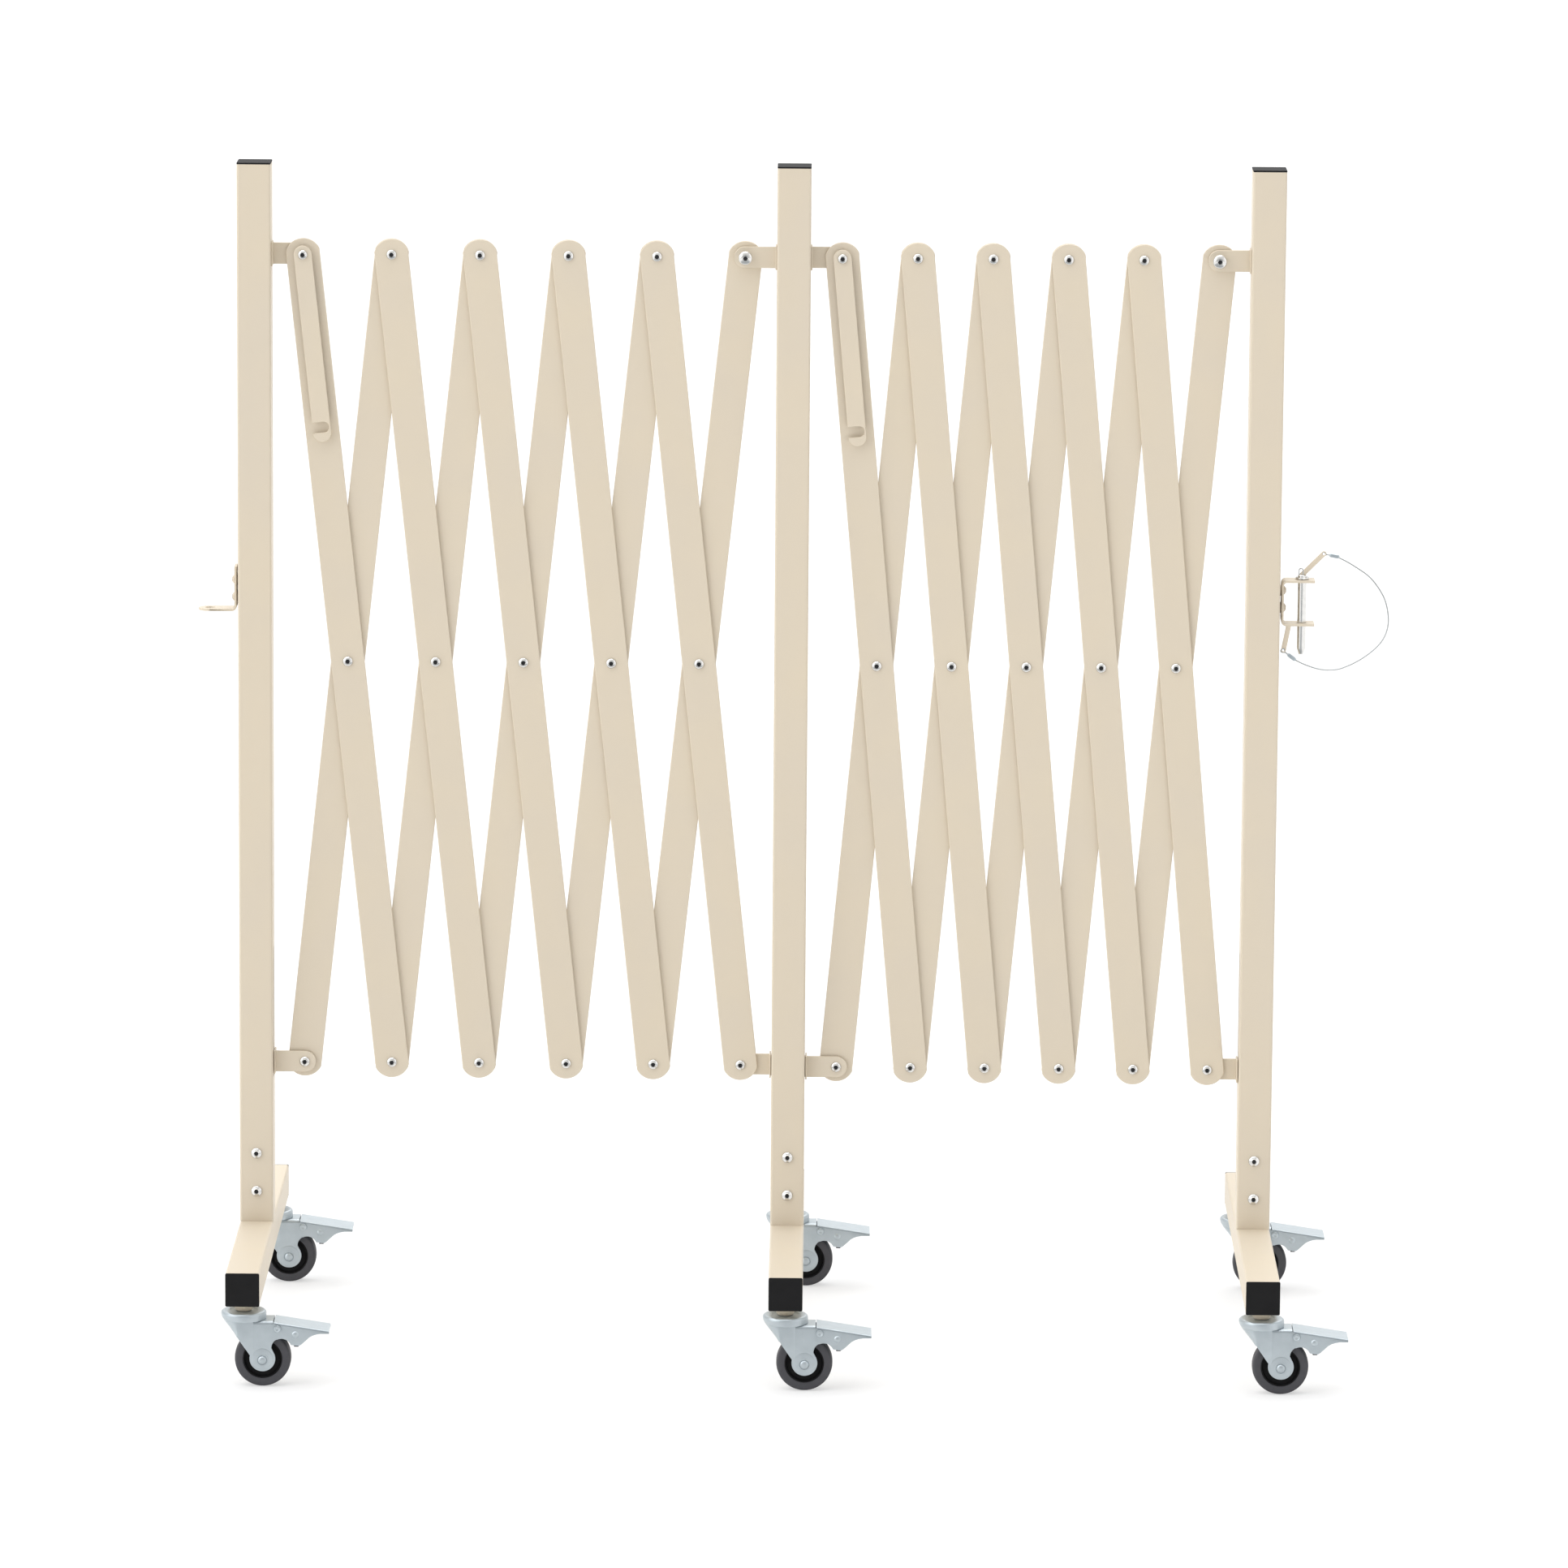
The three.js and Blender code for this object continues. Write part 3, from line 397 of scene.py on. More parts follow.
# Bright zinc plate on sheet steel: bluish white, half matt, with dull clouds and the fine drag
# marks of the press, which blur what it mirrors.
zinc_plate = new_finish("Zinc plated sheet steel", "zinc_plate")
spot = add_node(zinc_plate, "ShaderNodeTexCoord").outputs["Object"]
cloud = add_node(zinc_plate, "ShaderNodeTexNoise", {"Scale": 1 / zinc_cloud, "Detail": 4}, {"Vector": spot})
tone = add_node(zinc_plate, "ShaderNodeMixRGB",
                {"Color1": linear(zinc_colour), "Color2": linear(zinc_dull_colour)},
                {"Fac": cloud.outputs["Fac"]})
gloss = add_node(zinc_plate, "ShaderNodeMapRange",
                 {"To Min": zinc_roughness_low, "To Max": zinc_roughness_high},
                 {"Value": cloud.outputs["Fac"]})
drag = add_node(zinc_plate, "ShaderNodeTexNoise", {"Scale": 1 / zinc_grain, "Detail": 2}, {"Vector": spot})
marks = add_node(zinc_plate, "ShaderNodeBump", {"Strength": 0.4, "Distance": zinc_grain_depth},
                 {"Height": drag.outputs["Fac"]})
plating = add_node(zinc_plate, "ShaderNodeBsdfPrincipled", {"Metallic": 0.7},
                   {"Base Color": tone.outputs["Color"], "Roughness": gloss.outputs["Result"],
                    "Normal": marks.outputs["Normal"]})
add_node(zinc_plate, "ShaderNodeOutputMaterial", links={"Surface": plating.outputs["BSDF"]})


def cut(mesh, cutters):
    """The mesh with the cutters' forms taken out of it."""
    scene = bpy.context.scene.collection.objects
    blank = bpy.data.objects.new("blank", mesh)
    tools = []
    scene.link(blank)
    for cutter, place in cutters:
        tool = bpy.data.objects.new("cutter", cutter)
        tool.matrix_world = place
        scene.link(tool)
        tools.append(tool)
        step = blank.modifiers.new("Cut", "BOOLEAN")
        step.operation = "DIFFERENCE"
        step.solver = "EXACT"
        step.object = tool
    result = bpy.data.meshes.new_from_object(blank.evaluated_get(bpy.context.evaluated_depsgraph_get()))
    for obj in [blank, *tools]:
        bpy.data.objects.remove(obj)
    return result


def welded(mesh):
    """The mesh as one closed skin, with faces that point out, ready to be cut."""
    form = bmesh.new()
    form.from_mesh(mesh)
    bmesh.ops.remove_doubles(form, verts=form.verts, dist=join_within)
    bmesh.ops.recalc_face_normals(form, faces=form.faces)
    form.to_mesh(mesh)
    form.free()
    return mesh


def folded_section(half, top, foot, sheet, bend):
    """The section of a sheet folded down on both sides, as points across and up."""
    inner = bend - sheet
    outside = arc((-half + bend, top - bend), bend, 180, 90) + arc((half - bend, top - bend), bend, 90, 0)
    inside = arc((half - bend, top - bend), inner, 0, 90) + arc((-half + bend, top - bend), inner, 90, 180)
    return [(-half, foot), *outside, (half, foot), (half - sheet, foot), *inside, (-half + sheet, foot)]


def rod(radius, low, high):
    """A plain round rod along Z, between two heights."""
    return turned([(0, low), (radius, low), (radius, high), (0, high)])


def scaled(shares, radius, height):
    """A profile whose points are given as shares of a radius and a height."""
    return [(radius * out, height * up) for out, up in shares]


fork_outside = fork_inside + leg_thickness
leg_top = fork_top - fork_bend
leg_outline = [
    (rib_left, leg_top),
    (rib_left, leg_knee),
    leg_ankle,
    *arc(axle_boss_place, axle_boss_radius, 158, 385, 28),
    *arc(relief_place, relief_radius, 180, 90, 16),
    *arc(pivot_place, pivot_ear_radius, 0, 89),
    (fork_front, leg_top),
]
fork_leg = plate([leg_outline], leg_thickness, fork_edge)
fork_section = folded_section(fork_outside, fork_top, leg_top, leg_thickness, fork_bend)
fork_saddle = lofted([[(x, y, z) for y, z in fork_section] for x in (-saddle_back, fork_front)])
slot_cutter = plate([rounded_square(spring_slot_width, spring_slot_width / 3)], crown_height)
slot_cutter.transform(Matrix.Scale(spring_slot_length / spring_slot_width, 4, (1, 0, 0)))
fork_saddle = cut(welded(fork_saddle), [(welded(slot_cutter), at(*spring_slot, fork_top))])
crown_top = fork_top + crown_height
crown_wall = [(crown_radius, fork_top + crown_edge + share * crown_draw_height)
              for share in crown_wall_shares]
fork_crown = turned([
    (0, fork_top),
    (crown_radius - crown_edge, fork_top),
    (crown_radius - crown_edge / 4, fork_top + crown_edge / 4),
    *crown_wall,
    *arc((crown_radius - crown_shoulder, crown_top - crown_shoulder), crown_shoulder, 0, 90),
    (crown_dish_radius, crown_top),
    (crown_dish_radius - crown_dish, crown_top - crown_dish),
    (0, crown_top - crown_dish),
], 64)
# Behind, the crown's wall draws in towards the hood under it
for point in fork_crown.vertices:
    low = max(0, 1 - (point.co.z - fork_top) / crown_draw_height)
    behind = max(0, -point.co.x / crown_radius)
    point.co.xy *= 1 - crown_draw_share * behind * low ** 2
kingpin = rod(kingpin_radius, fork_top, kingpin_nut_place)
nut_top = kingpin_nut_place + kingpin_nut_height
kingpin_nut = turned([
    (0, kingpin_nut_place),
    (kingpin_nut_radius, kingpin_nut_place),
    (kingpin_nut_radius, nut_top - nut_chamfer),
    (kingpin_nut_radius - nut_chamfer, nut_top),
    (0, nut_top),
], 48, hexagonal=(1, 2))

# A hood, drawn in one with the crown, closes the fork behind the wheel. In front it runs into a broad
# rib on each leg, which dies out above the axle. The leg is embossed round the axle, whose head sits
# on a washer.
leg_middle = fork_inside + leg_thickness / 2


def hood_ring(height, reach):
    """The hood's outline at a height, from one leg's rib round the back to the other's."""
    outer = []
    inner = []
    for step in range(hood_steps + 1):
        angle = math.pi * step / hood_steps
        deep = (reach + rib_left) * math.sin(angle)
        outer.append((rib_left - deep, -(fork_outside + rib_height) * math.cos(angle), height))
        thin = max(deep - leg_thickness * math.sin(angle), 0)
        inner.append((rib_left - thin, -fork_inside * math.cos(angle), height))
    return [
        (rib_slope_end, -fork_outside, height),
        (rib_right, -fork_outside - rib_height, height),
        *outer,
        (rib_right, fork_outside + rib_height, height),
        (rib_slope_end, fork_outside, height),
        (rib_slope_end, leg_middle, height),
        (rib_left, leg_middle, height),
        *reversed(inner),
        (rib_left, -leg_middle, height),
        (rib_slope_end, -leg_middle, height),
    ]


def rib_ring(height):
    """The outline of a leg's rib at a height below the hood, as far as the leg's rear edge allows."""
    slant = (leg_ankle[0] - rib_left) / (leg_knee - leg_ankle[1])
    left = rib_left + max(leg_knee - height, 0) * slant
    right = max(rib_right, left)
    face = fork_outside + max(rib_height * min((height - rib_foot) / (rib_full - rib_foot), 1), cut_edge / 4)
    return [
        (rib_slope_end, -fork_outside, height),
        (right, -face, height),
        (left, -face, height),
        (left, -leg_middle, height),
        (rib_slope_end, -leg_middle, height),
    ]


fork_hood = lofted([hood_ring(height * mm, reach * mm) for height, reach in hood_reaches])
rib_start = hood_reaches[-1][0] * mm
leg_rib = lofted([rib_ring(rib_start + (rib_foot - rib_start) * step / rib_steps)
                  for step in range(rib_steps + 1)])
axle_disc = turned([
    (0, 0),
    (axle_disc_radius, 0),
    (axle_disc_radius - 3 * axle_disc_height, axle_disc_height),
    (0, axle_disc_height),
])
axle_head = turned([
    (0, 0),
    (axle_washer_radius, 0),
    (axle_washer_radius, axle_washer_height),
    (axle_head_radius + axle_washer_height, axle_washer_height),
    *scaled(axle_head_shares, axle_head_radius, axle_head_height),
])
axle_rod = rod(axle_radius, -fork_inside, fork_inside)
pivot_rod = rod(pivot_radius, -pivot_head_face, pivot_head_face)
pivot_head = turned(scaled(pivot_head_shares, pivot_head_radius, pivot_head_height))
# Stands a plate drawn in the X-Y plane upright, so that its Y runs up and it faces the front
upright = Matrix.Rotation(math.radians(90), 4, "X")
side_faces = [(-1, upright), (1, Matrix.Scale(-1, 4, (0, 1, 0)) @ upright)]
caster_places = [(f"{stand}_{end}", x, y) for stand, x in post_places.items()
                 for end, y in (("front", -stem_place), ("rear", stem_place))]
fork_parts = [
    *((form, Matrix.Identity(4)) for form in (fork_saddle, fork_hood, fork_crown, kingpin, kingpin_nut)),
    (axle_rod, at(axle_place[0], 0, axle_place[1]) @ along_y),
    (pivot_rod, at(pivot_place[0], 0, pivot_place[1]) @ along_y),
]
for side, face in side_faces:
    fork_parts += [
        (fork_leg, at(0, side * leg_middle, 0) @ face),
        (leg_rib, Matrix.Scale(-side, 4, (0, 1, 0))),
        (axle_disc, at(axle_boss_place[0], side * fork_outside, axle_boss_place[1]) @ face),
        (axle_head, at(axle_place[0], side * fork_outside, axle_place[1]) @ face),
        (pivot_head, at(pivot_place[0], side * pivot_head_face, pivot_place[1]) @ face),
    ]
for caster, x, y in caster_places:
    parts = [(mesh, at(x, y, 0) @ place) for mesh, place in fork_parts]
    fork = piece(f"{caster}_fork_pressing", f"{caster}_fork", zinc_plate, parts)
    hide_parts(f"{caster}_fork")

# Brake pedals: a channel folded from 1.3 mm sheet steel, zinc plated, that swings on a rivet through
# the fork. Its sides carry a pressed dimple each, and hold a black pad between them that bites on
# the tyre.
pedal_start = 27 * mm
pedal_length = 49 * mm
pedal_top = 59.6 * mm
pedal_drop = 7.4 * mm
pedal_sheet = 1.3 * mm
pedal_lip = 0.5 * mm
pedal_groove = 0.35 * mm
pedal_crack = 27.4 * mm
skirt_outside = 14.4 * mm
skirt_depth = 18 * mm
skirt_start_shares = [(0, 0.35), (0.02, 0.63), (0.045, 0.85)]
skirt_lobe_shares = [(0.35, 1), (0.4, 1), (0.46, 0.98), (0.5, 0.9), (0.57, 0.7), (0.64, 0.49), (0.7, 0.37),
                     (0.77, 0.28), (0.85, 0.21), (1, 0.145)]
dimple_share = (0.39, 0.45)
dimple_radius = 3 * mm
dimple_height = 1 * mm
dimple_form_shares = [(0, 0), (1, 0), (0.8, 0.6), (0.4, 1), (0, 1)]
pad_start = 45 * mm
pad_length = 4 * mm
pad_foot = 37.4 * mm
pad_height = 4 * mm
pad_half_width = 13 * mm


def on_skirt(share):
    """A point on the skirt: along the pedal, and below the line of its top."""
    along, deep = share
    return (pedal_start + pedal_length * along, pedal_top - pedal_drop * along - skirt_depth * deep)


def pedal_section(top, foot):
    """The pedal's section: its top plate stands a little proud of the skirts, over a fine groove."""
    plate_half = skirt_outside + pedal_lip
    under = top - pedal_sheet
    right = [
        (plate_half - pedal_groove, top),
        (plate_half, top - pedal_groove),
        (plate_half, under + pedal_groove),
        (skirt_outside - pedal_groove, under),
        (skirt_outside, under - pedal_lip),
        (skirt_outside, foot),
        (skirt_outside - pedal_sheet, foot),
        (skirt_outside - pedal_sheet, under),
    ]
    return [*right, *((-y, z) for y, z in reversed(right))]


skirt_foot = [on_skirt(share) for share in skirt_start_shares]
skirt_foot += arc(relief_place, relief_radius, 116, 24, 20)
skirt_foot += [on_skirt(share) for share in skirt_lobe_shares]
pedal_rings = []
for x, foot in skirt_foot:
    top = pedal_top - pedal_drop * (x - pedal_start) / pedal_length
    pedal_rings.append([(max(x, pedal_crack), y, z) for y, z in pedal_section(top, foot)])
pedal_channel = lofted(pedal_rings)
dimple = turned(scaled(dimple_form_shares, dimple_radius, dimple_height))
pad_half_length = pad_length / 2
brake_pad = plate([[
    (-pad_half_length, -pad_height / 2),
    (pad_half_length, -pad_height / 2),
    (pad_half_length, pad_height / 2),
    (-pad_half_length, pad_height / 2),
]], 2 * pad_half_width, fork_edge)
dimple_x, dimple_z = on_skirt(dimple_share)
for caster, x, y in caster_places:
    body = f"{caster}_brake_pedal"
    parts = [(pedal_channel, at(x, y, 0))]
    for side, face in side_faces:
        parts.append((dimple, at(x + dimple_x, y + side * skirt_outside, dimple_z) @ face))
    pedal = piece(f"{body}_channel", body, zinc_plate, parts)
    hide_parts(body)
    pad_middle = at(x + pad_start + pad_half_length, y, pad_foot + pad_height / 2)
    piece(f"{body}_pad", body, black_plastic, [(brake_pad, pad_middle @ upright)])

# Wheels: 50 mm, with a grey tyre of thermoplastic rubber moulded on a rim of black plastic. The tyre
# is slightly crowned, and the rim is dished on both sides round its hub.
wheel_radius = 25 * mm
tyre_half_width = 9 * mm
tyre_crown = 0.5 * mm
tyre_edge = 2.2 * mm
rim_radius = 17.4 * mm
rim_lip = 1 * mm
rim_half_web = 4 * mm
hub_radius = 7 * mm
hub_half_width = 10.5 * mm
hub_bore_radius = 3.3 * mm
tyre_colour = "#424246"
tyre_scuffed_colour = "#4A4A4E"
tyre_roughness = 0.62
tyre_shine = 0.3
tyre_cloud = 6 * mm
tyre_grain = 0.8 * mm
tyre_grain_depth = 0.03 * mm

# Thermoplastic rubber: dark grey, nearly matt, faintly scuffed, with a fine moulded grain.
grey_rubber = new_finish("Grey thermoplastic rubber", "grey_rubber")
spot = add_node(grey_rubber, "ShaderNodeTexCoord").outputs["Object"]
scuff = add_node(grey_rubber, "ShaderNodeTexNoise", {"Scale": 1 / tyre_cloud, "Detail": 4}, {"Vector": spot})
tone = add_node(grey_rubber, "ShaderNodeMixRGB",
                {"Color1": linear(tyre_colour), "Color2": linear(tyre_scuffed_colour)},
                {"Fac": scuff.outputs["Fac"]})
grain = add_node(grey_rubber, "ShaderNodeTexNoise", {"Scale": 1 / tyre_grain, "Detail": 2}, {"Vector": spot})
grained = add_node(grey_rubber, "ShaderNodeBump", {"Strength": 0.4, "Distance": tyre_grain_depth},
                   {"Height": grain.outputs["Fac"]})
rubber = add_node(grey_rubber, "ShaderNodeBsdfPrincipled",
                  {"Roughness": tyre_roughness, "IOR": 1.5, "Specular IOR Level": tyre_shine},
                  {"Base Color": tone.outputs["Color"], "Normal": grained.outputs["Normal"]})
add_node(grey_rubber, "ShaderNodeOutputMaterial", links={"Surface": rubber.outputs["BSDF"]})

tread_edge = wheel_radius - tyre_crown
tyre_half = [
    (rim_radius, rim_half_web),
    (rim_radius, tyre_half_width - rim_lip / 2),
    (rim_radius + rim_lip, tyre_half_width),
    *arc((tread_edge - tyre_edge, tyre_half_width - tyre_edge), tyre_edge, 90, 0),
    (wheel_radius - tyre_crown / 4, tyre_half_width / 3),
]
wheel_tyre = turned([*tyre_half, *((r, -y) for r, y in reversed(tyre_half))], 96)
rim_half = [
    (hub_bore_radius, hub_half_width),
    (hub_radius - rim_lip / 2, hub_half_width),
    (hub_radius, hub_half_width - rim_lip / 2),
    (hub_radius + rim_lip / 2, rim_half_web + rim_lip / 2),
    (hub_radius + rim_lip, rim_half_web),
    (rim_radius - 2 * rim_lip, rim_half_web),
    (rim_radius - rim_lip, rim_half_web + rim_lip),
    (rim_radius - rim_lip, tyre_half_width - rim_lip),
    (rim_radius, tyre_half_width - rim_lip),
]
wheel_rim = turned([*rim_half, *((r, -y) for r, y in reversed(rim_half))], 64)
for caster, x, y in caster_places:
    body = f"{caster}_wheel"
    place = at(x + axle_place[0], y, axle_place[1]) @ along_y
    tyre = piece(f"{body}_tyre", body, grey_rubber, [(wheel_tyre, place)])
    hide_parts(body)
    piece(f"{body}_rim", body, black_plastic, [(wheel_rim, place)])

# Posts: three uprights of the same tube, slotted in the sides that face a lattice, so that the
# bottom arms can slide. The top arms are flat steel, welded on by a small foot.
post_length = 956.5 * mm
top_pin_height = 981 * mm
slot_low = 235.2 * mm
slot_high = 356 * mm
slot_width = 7 * mm
pin_to_post = 43 * mm
arm_height = 19 * mm
arm_thickness = 3 * mm
arm_tip_reach = 10 * mm
arm_foot_thickness = 1.4 * mm
arm_foot_width = 18 * mm
arm_foot_height = 21 * mm
layer_gap = 0.6 * mm
arm_edge = 0.4 * mm
layer_middle = (layer_gap + arm_thickness) / 2
half_tube = tube_side / 2
post_arms = {"left": [(1, 1)], "middle": [(-1, -1), (1, 1)], "right": [(-1, -1)]}


def oblong(low, high, half):
    """A box's outline from its low and high corners in one direction and its half width in the other."""
    return [(-half, low), (half, low), (half, high), (-half, high)]


def arm_plate(start):
    """A flat arm with a round end, drawn from the post's middle along X."""
    tip = pin_to_post + arm_tip_reach - arm_height / 2
    round_end = arc((tip, 0), arm_height / 2, -90, 90, 24)
    outline = [(start, -arm_height / 2), *round_end, (start, arm_height / 2)]
    return plate([outline], arm_thickness, arm_edge)


post_tube = tube(post_length, tube_side, tube_side - 2 * tube_wall, tube_corner, tube_inner_corner)
slot_half = slot_width / 2
slot_outline = [
    *arc((0, slot_high - slot_half), slot_half, 0, 180),
    *arc((0, slot_low + slot_half), slot_half, 180, 360),
]
side_slot = welded(plate([slot_outline], half_tube))
facing_x = Matrix.Rotation(math.radians(90), 4, "Z") @ upright
# Lays a form made along Z down along X
along_x = Matrix.Rotation(math.radians(90), 4, "Y")
post_middle = foot_height + post_length / 2
arm_foot = plate([oblong(-arm_foot_width / 2, arm_foot_width / 2, arm_foot_height / 2)],
                 arm_foot_thickness, arm_edge)
fixed_arm = arm_plate(half_tube)
for stand, x in post_places.items():
    slots = [(side_slot, at(side * tube_side / 2, 0, -post_middle) @ facing_x)
             for side, _ in post_arms[stand]]
    slotted_tube = cut(welded(post_tube.copy()), slots)
    parts = [(slotted_tube, at(x, 0, post_middle))]
    for side, layer in post_arms[stand]:
        mirror = Matrix.Scale(side, 4, (1, 0, 0))
        foot_place = at(half_tube + arm_foot_thickness / 2, 0, top_pin_height)
        parts.append((fixed_arm, at(x, layer * layer_middle, top_pin_height) @ mirror @ upright))
        parts.append((arm_foot, at(x, 0, 0) @ mirror @ foot_place @ along_x))
    post = piece(f"{stand}_post_weldment", f"{stand}_stand", powder_coat, parts)
    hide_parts(f"{stand}_post")

# Foot screws: two M6 button heads with a hexagon socket go through the front of each post into the
# core. The bolt on the last top pin of each lattice is the same kind, larger and on a shoulder.
screw_heights = (133 * mm, 168 * mm)
screw_head_radius = 5 * mm
screw_head_height = 3 * mm
screw_socket_radius = 2.1 * mm
screw_socket_depth = 1.3 * mm
head_seat_share = 0.97
head_wall_share = 0.22
head_dome_turns = (0, 15, 30, 45, 58)
socket_mouth_share = 1.12
socket_rim_share = 0.96
socket_face_share = 1.05
screw_shank_radius = 3 * mm
screw_shank_length = 9 * mm
strap_front = -9.3 * mm
head_gap = 0.3 * mm
hook_bolt_head_radius = 6.2 * mm
hook_bolt_shoulder_radius = 4 * mm
bar_front = -3.3 * mm
bar_back = 3.3 * mm
tail_height = 1.6 * mm
tail_radius = 4.75 * mm
tail_shares = [(0, 0), (1, 0), (1, 0.3), (0.75, 0.8), (0.4, 1), (0, 1)]
pin_radius = 3 * mm
nickel_colour = "#DDDCD9"
nickel_dark_colour = "#C6C5C3"
nickel_roughness_low = 0.13
nickel_roughness_high = 0.25
nickel_cloud = 4 * mm

# Nickel plated steel: bright and slightly warm, with faint dull clouds where fingers and tools
# have been.
nickel = new_finish("Nickel plated steel", "pin_steel")
spot = add_node(nickel, "ShaderNodeTexCoord").outputs["Object"]
cloud = add_node(nickel, "ShaderNodeTexNoise", {"Scale": 1 / nickel_cloud, "Detail": 3}, {"Vector": spot})
tone = add_node(nickel, "ShaderNodeMixRGB",
                {"Color1": linear(nickel_colour), "Color2": linear(nickel_dark_colour)},
                {"Fac": cloud.outputs["Fac"]})
gloss = add_node(nickel, "ShaderNodeMapRange",
                 {"To Min": nickel_roughness_low, "To Max": nickel_roughness_high},
                 {"Value": cloud.outputs["Fac"]})
shine = add_node(nickel, "ShaderNodeBsdfPrincipled", {"Metallic": 1},
                 {"Base Color": tone.outputs["Color"], "Roughness": gloss.outputs["Result"]})
add_node(nickel, "ShaderNodeOutputMaterial", links={"Surface": shine.outputs["BSDF"]})

# Painted shade: a socket is dark inside because little light gets back out of it. This material
# paints that shade on the socket's faces, mottled a little towards black.
socket_shade_colour = "#454547"
socket_roughness = 0.5
socket_shade = new_finish("Painted socket shade", "pin_steel")
spot = add_node(socket_shade, "ShaderNodeTexCoord").outputs["Object"]
socket_shade_mottle = add_node(socket_shade, "ShaderNodeTexNoise", {"Scale": 1 / nickel_cloud, "Detail": 3},
                {"Vector": spot})
tone = add_node(socket_shade, "ShaderNodeMixRGB",
                {"Color1": linear(socket_shade_colour), "Color2": linear(plastic_colour)},
                {"Fac": socket_shade_mottle.outputs["Fac"]})
socket_shade_surface = add_node(socket_shade, "ShaderNodeBsdfPrincipled", {"Metallic": 0.6, "Roughness": socket_roughness},
                 {"Base Color": tone.outputs["Color"]})
add_node(socket_shade, "ShaderNodeOutputMaterial", links={"Surface": socket_shade_surface.outputs["BSDF"]})


def button_head(radius, height, foot=0, shank_radius=0):
    """A domed head with a hexagon socket, seated at height 0, on a shank that goes down to foot."""
    dome = []
    for turn in map(math.radians, head_dome_turns):
        rise = head_wall_share + (1 - head_wall_share) * math.sin(turn)
        dome.append((radius * math.cos(turn), height * rise))
    seat = [(radius * head_seat_share, 0)]
    if shank_radius:
        seat = [(0, foot), (shank_radius, foot), (shank_radius, 0), *seat]
    else:
        seat = [(0, 0), *seat]
    rim = screw_socket_radius
    floor = height - screw_socket_depth
    mouth = [(rim * socket_mouth_share, height), (rim, height * socket_rim_share)]
    profile = [*seat, *dome, *mouth, (rim, floor), (0, floor - rim / 4)]
    rim_at = len(profile) - 3
    head = turned(profile, 48, hexagonal=(rim_at, rim_at + 1))
    # The faces inside the socket take the second material, which paints the socket's shade
    for face in head.polygons:
        deepest = max(head.vertices[i].co.xy.length for i in face.vertices)
        face.material_index = int(face.center.z > 0 and deepest < rim * socket_face_share)
    return head


foot_screw = button_head(screw_head_radius, screw_head_height, -screw_shank_length, screw_shank_radius)
hook_bolt_foot = strap_front - head_gap - bar_front
hook_bolt = button_head(hook_bolt_head_radius, screw_head_height, hook_bolt_foot, hook_bolt_shoulder_radius)
hook_bolt_shank = rod(pin_radius, bar_front, bar_back)
rivet_tail = turned(scaled(tail_shares, tail_radius, tail_height))
facing_front = upright
facing_back = along_y
tail_face = bar_back + head_gap
for stand, x in post_places.items():
    parts = [(foot_screw, at(x, -half_tube, height) @ facing_front) for height in screw_heights]
    for side, layer in post_arms[stand]:
        if layer < 0:
            pin = x + side * pin_to_post
            parts += [
                (hook_bolt, at(pin, strap_front - head_gap, top_pin_height) @ facing_front),
                (hook_bolt_shank, at(pin, 0, top_pin_height) @ along_y),
                (rivet_tail, at(pin, tail_face, top_pin_height) @ facing_back),
            ]
    piece(f"{stand}_post_screws", f"{stand}_stand", nickel, parts, socket_shade)

# Lattices: flat steel bars, 30 x 3 mm and 763 mm long, with bulged round ends. Five lean one way in
# the front layer and five the other way behind them, and rivets pin them at top, middle and bottom.
crossings = 5
pin_to_pin = 735 * mm
bar_width = 30 * mm
bar_thickness = 3 * mm
bar_end_radius = 16 * mm
bar_end_reach = 14 * mm
bar_edge = 0.7 * mm
rivet_head_radius = 4.6 * mm
rivet_head_height = 2.6 * mm
strap_back = -6.8 * mm
hook_pivot_head_radius = 4.3 * mm
hook_spacer_radius = 6 * mm
lattices = []
for lattice, first_post, last_post in (("left", "left", "middle"), ("right", "middle", "right")):
    first_pin = post_places[first_post] + pin_to_post
    last_pin = post_places[last_post] - pin_to_post
    tilt = math.asin((last_pin - first_pin) / crossings / pin_to_pin)
    lattices.append((lattice, first_pin, last_pin, tilt))

bar_arc_place = pin_to_pin / 2 + bar_end_reach - bar_end_radius
bar_sweep = math.degrees(math.asin(bar_width / 2 / bar_end_radius))
bar_outline = [
    *arc((0, bar_arc_place), bar_end_radius, 90 - bar_sweep, 90 + bar_sweep, 32),
    *arc((0, -bar_arc_place), bar_end_radius, 270 - bar_sweep, 270 + bar_sweep, 32),
]
flat_bar = plate([bar_outline], bar_thickness, bar_edge)
rivet_head = button_head(rivet_head_radius, rivet_head_height)
rivet_shank = rod(pin_radius, bar_front, tail_face)
hook_pivot_head = button_head(hook_pivot_head_radius, rivet_head_height)
hook_spacer = rod(hook_spacer_radius, 0, bar_front - strap_back - head_gap)
hook_pivot_shank = rod(pin_radius, 0, bar_front - strap_front + head_gap)
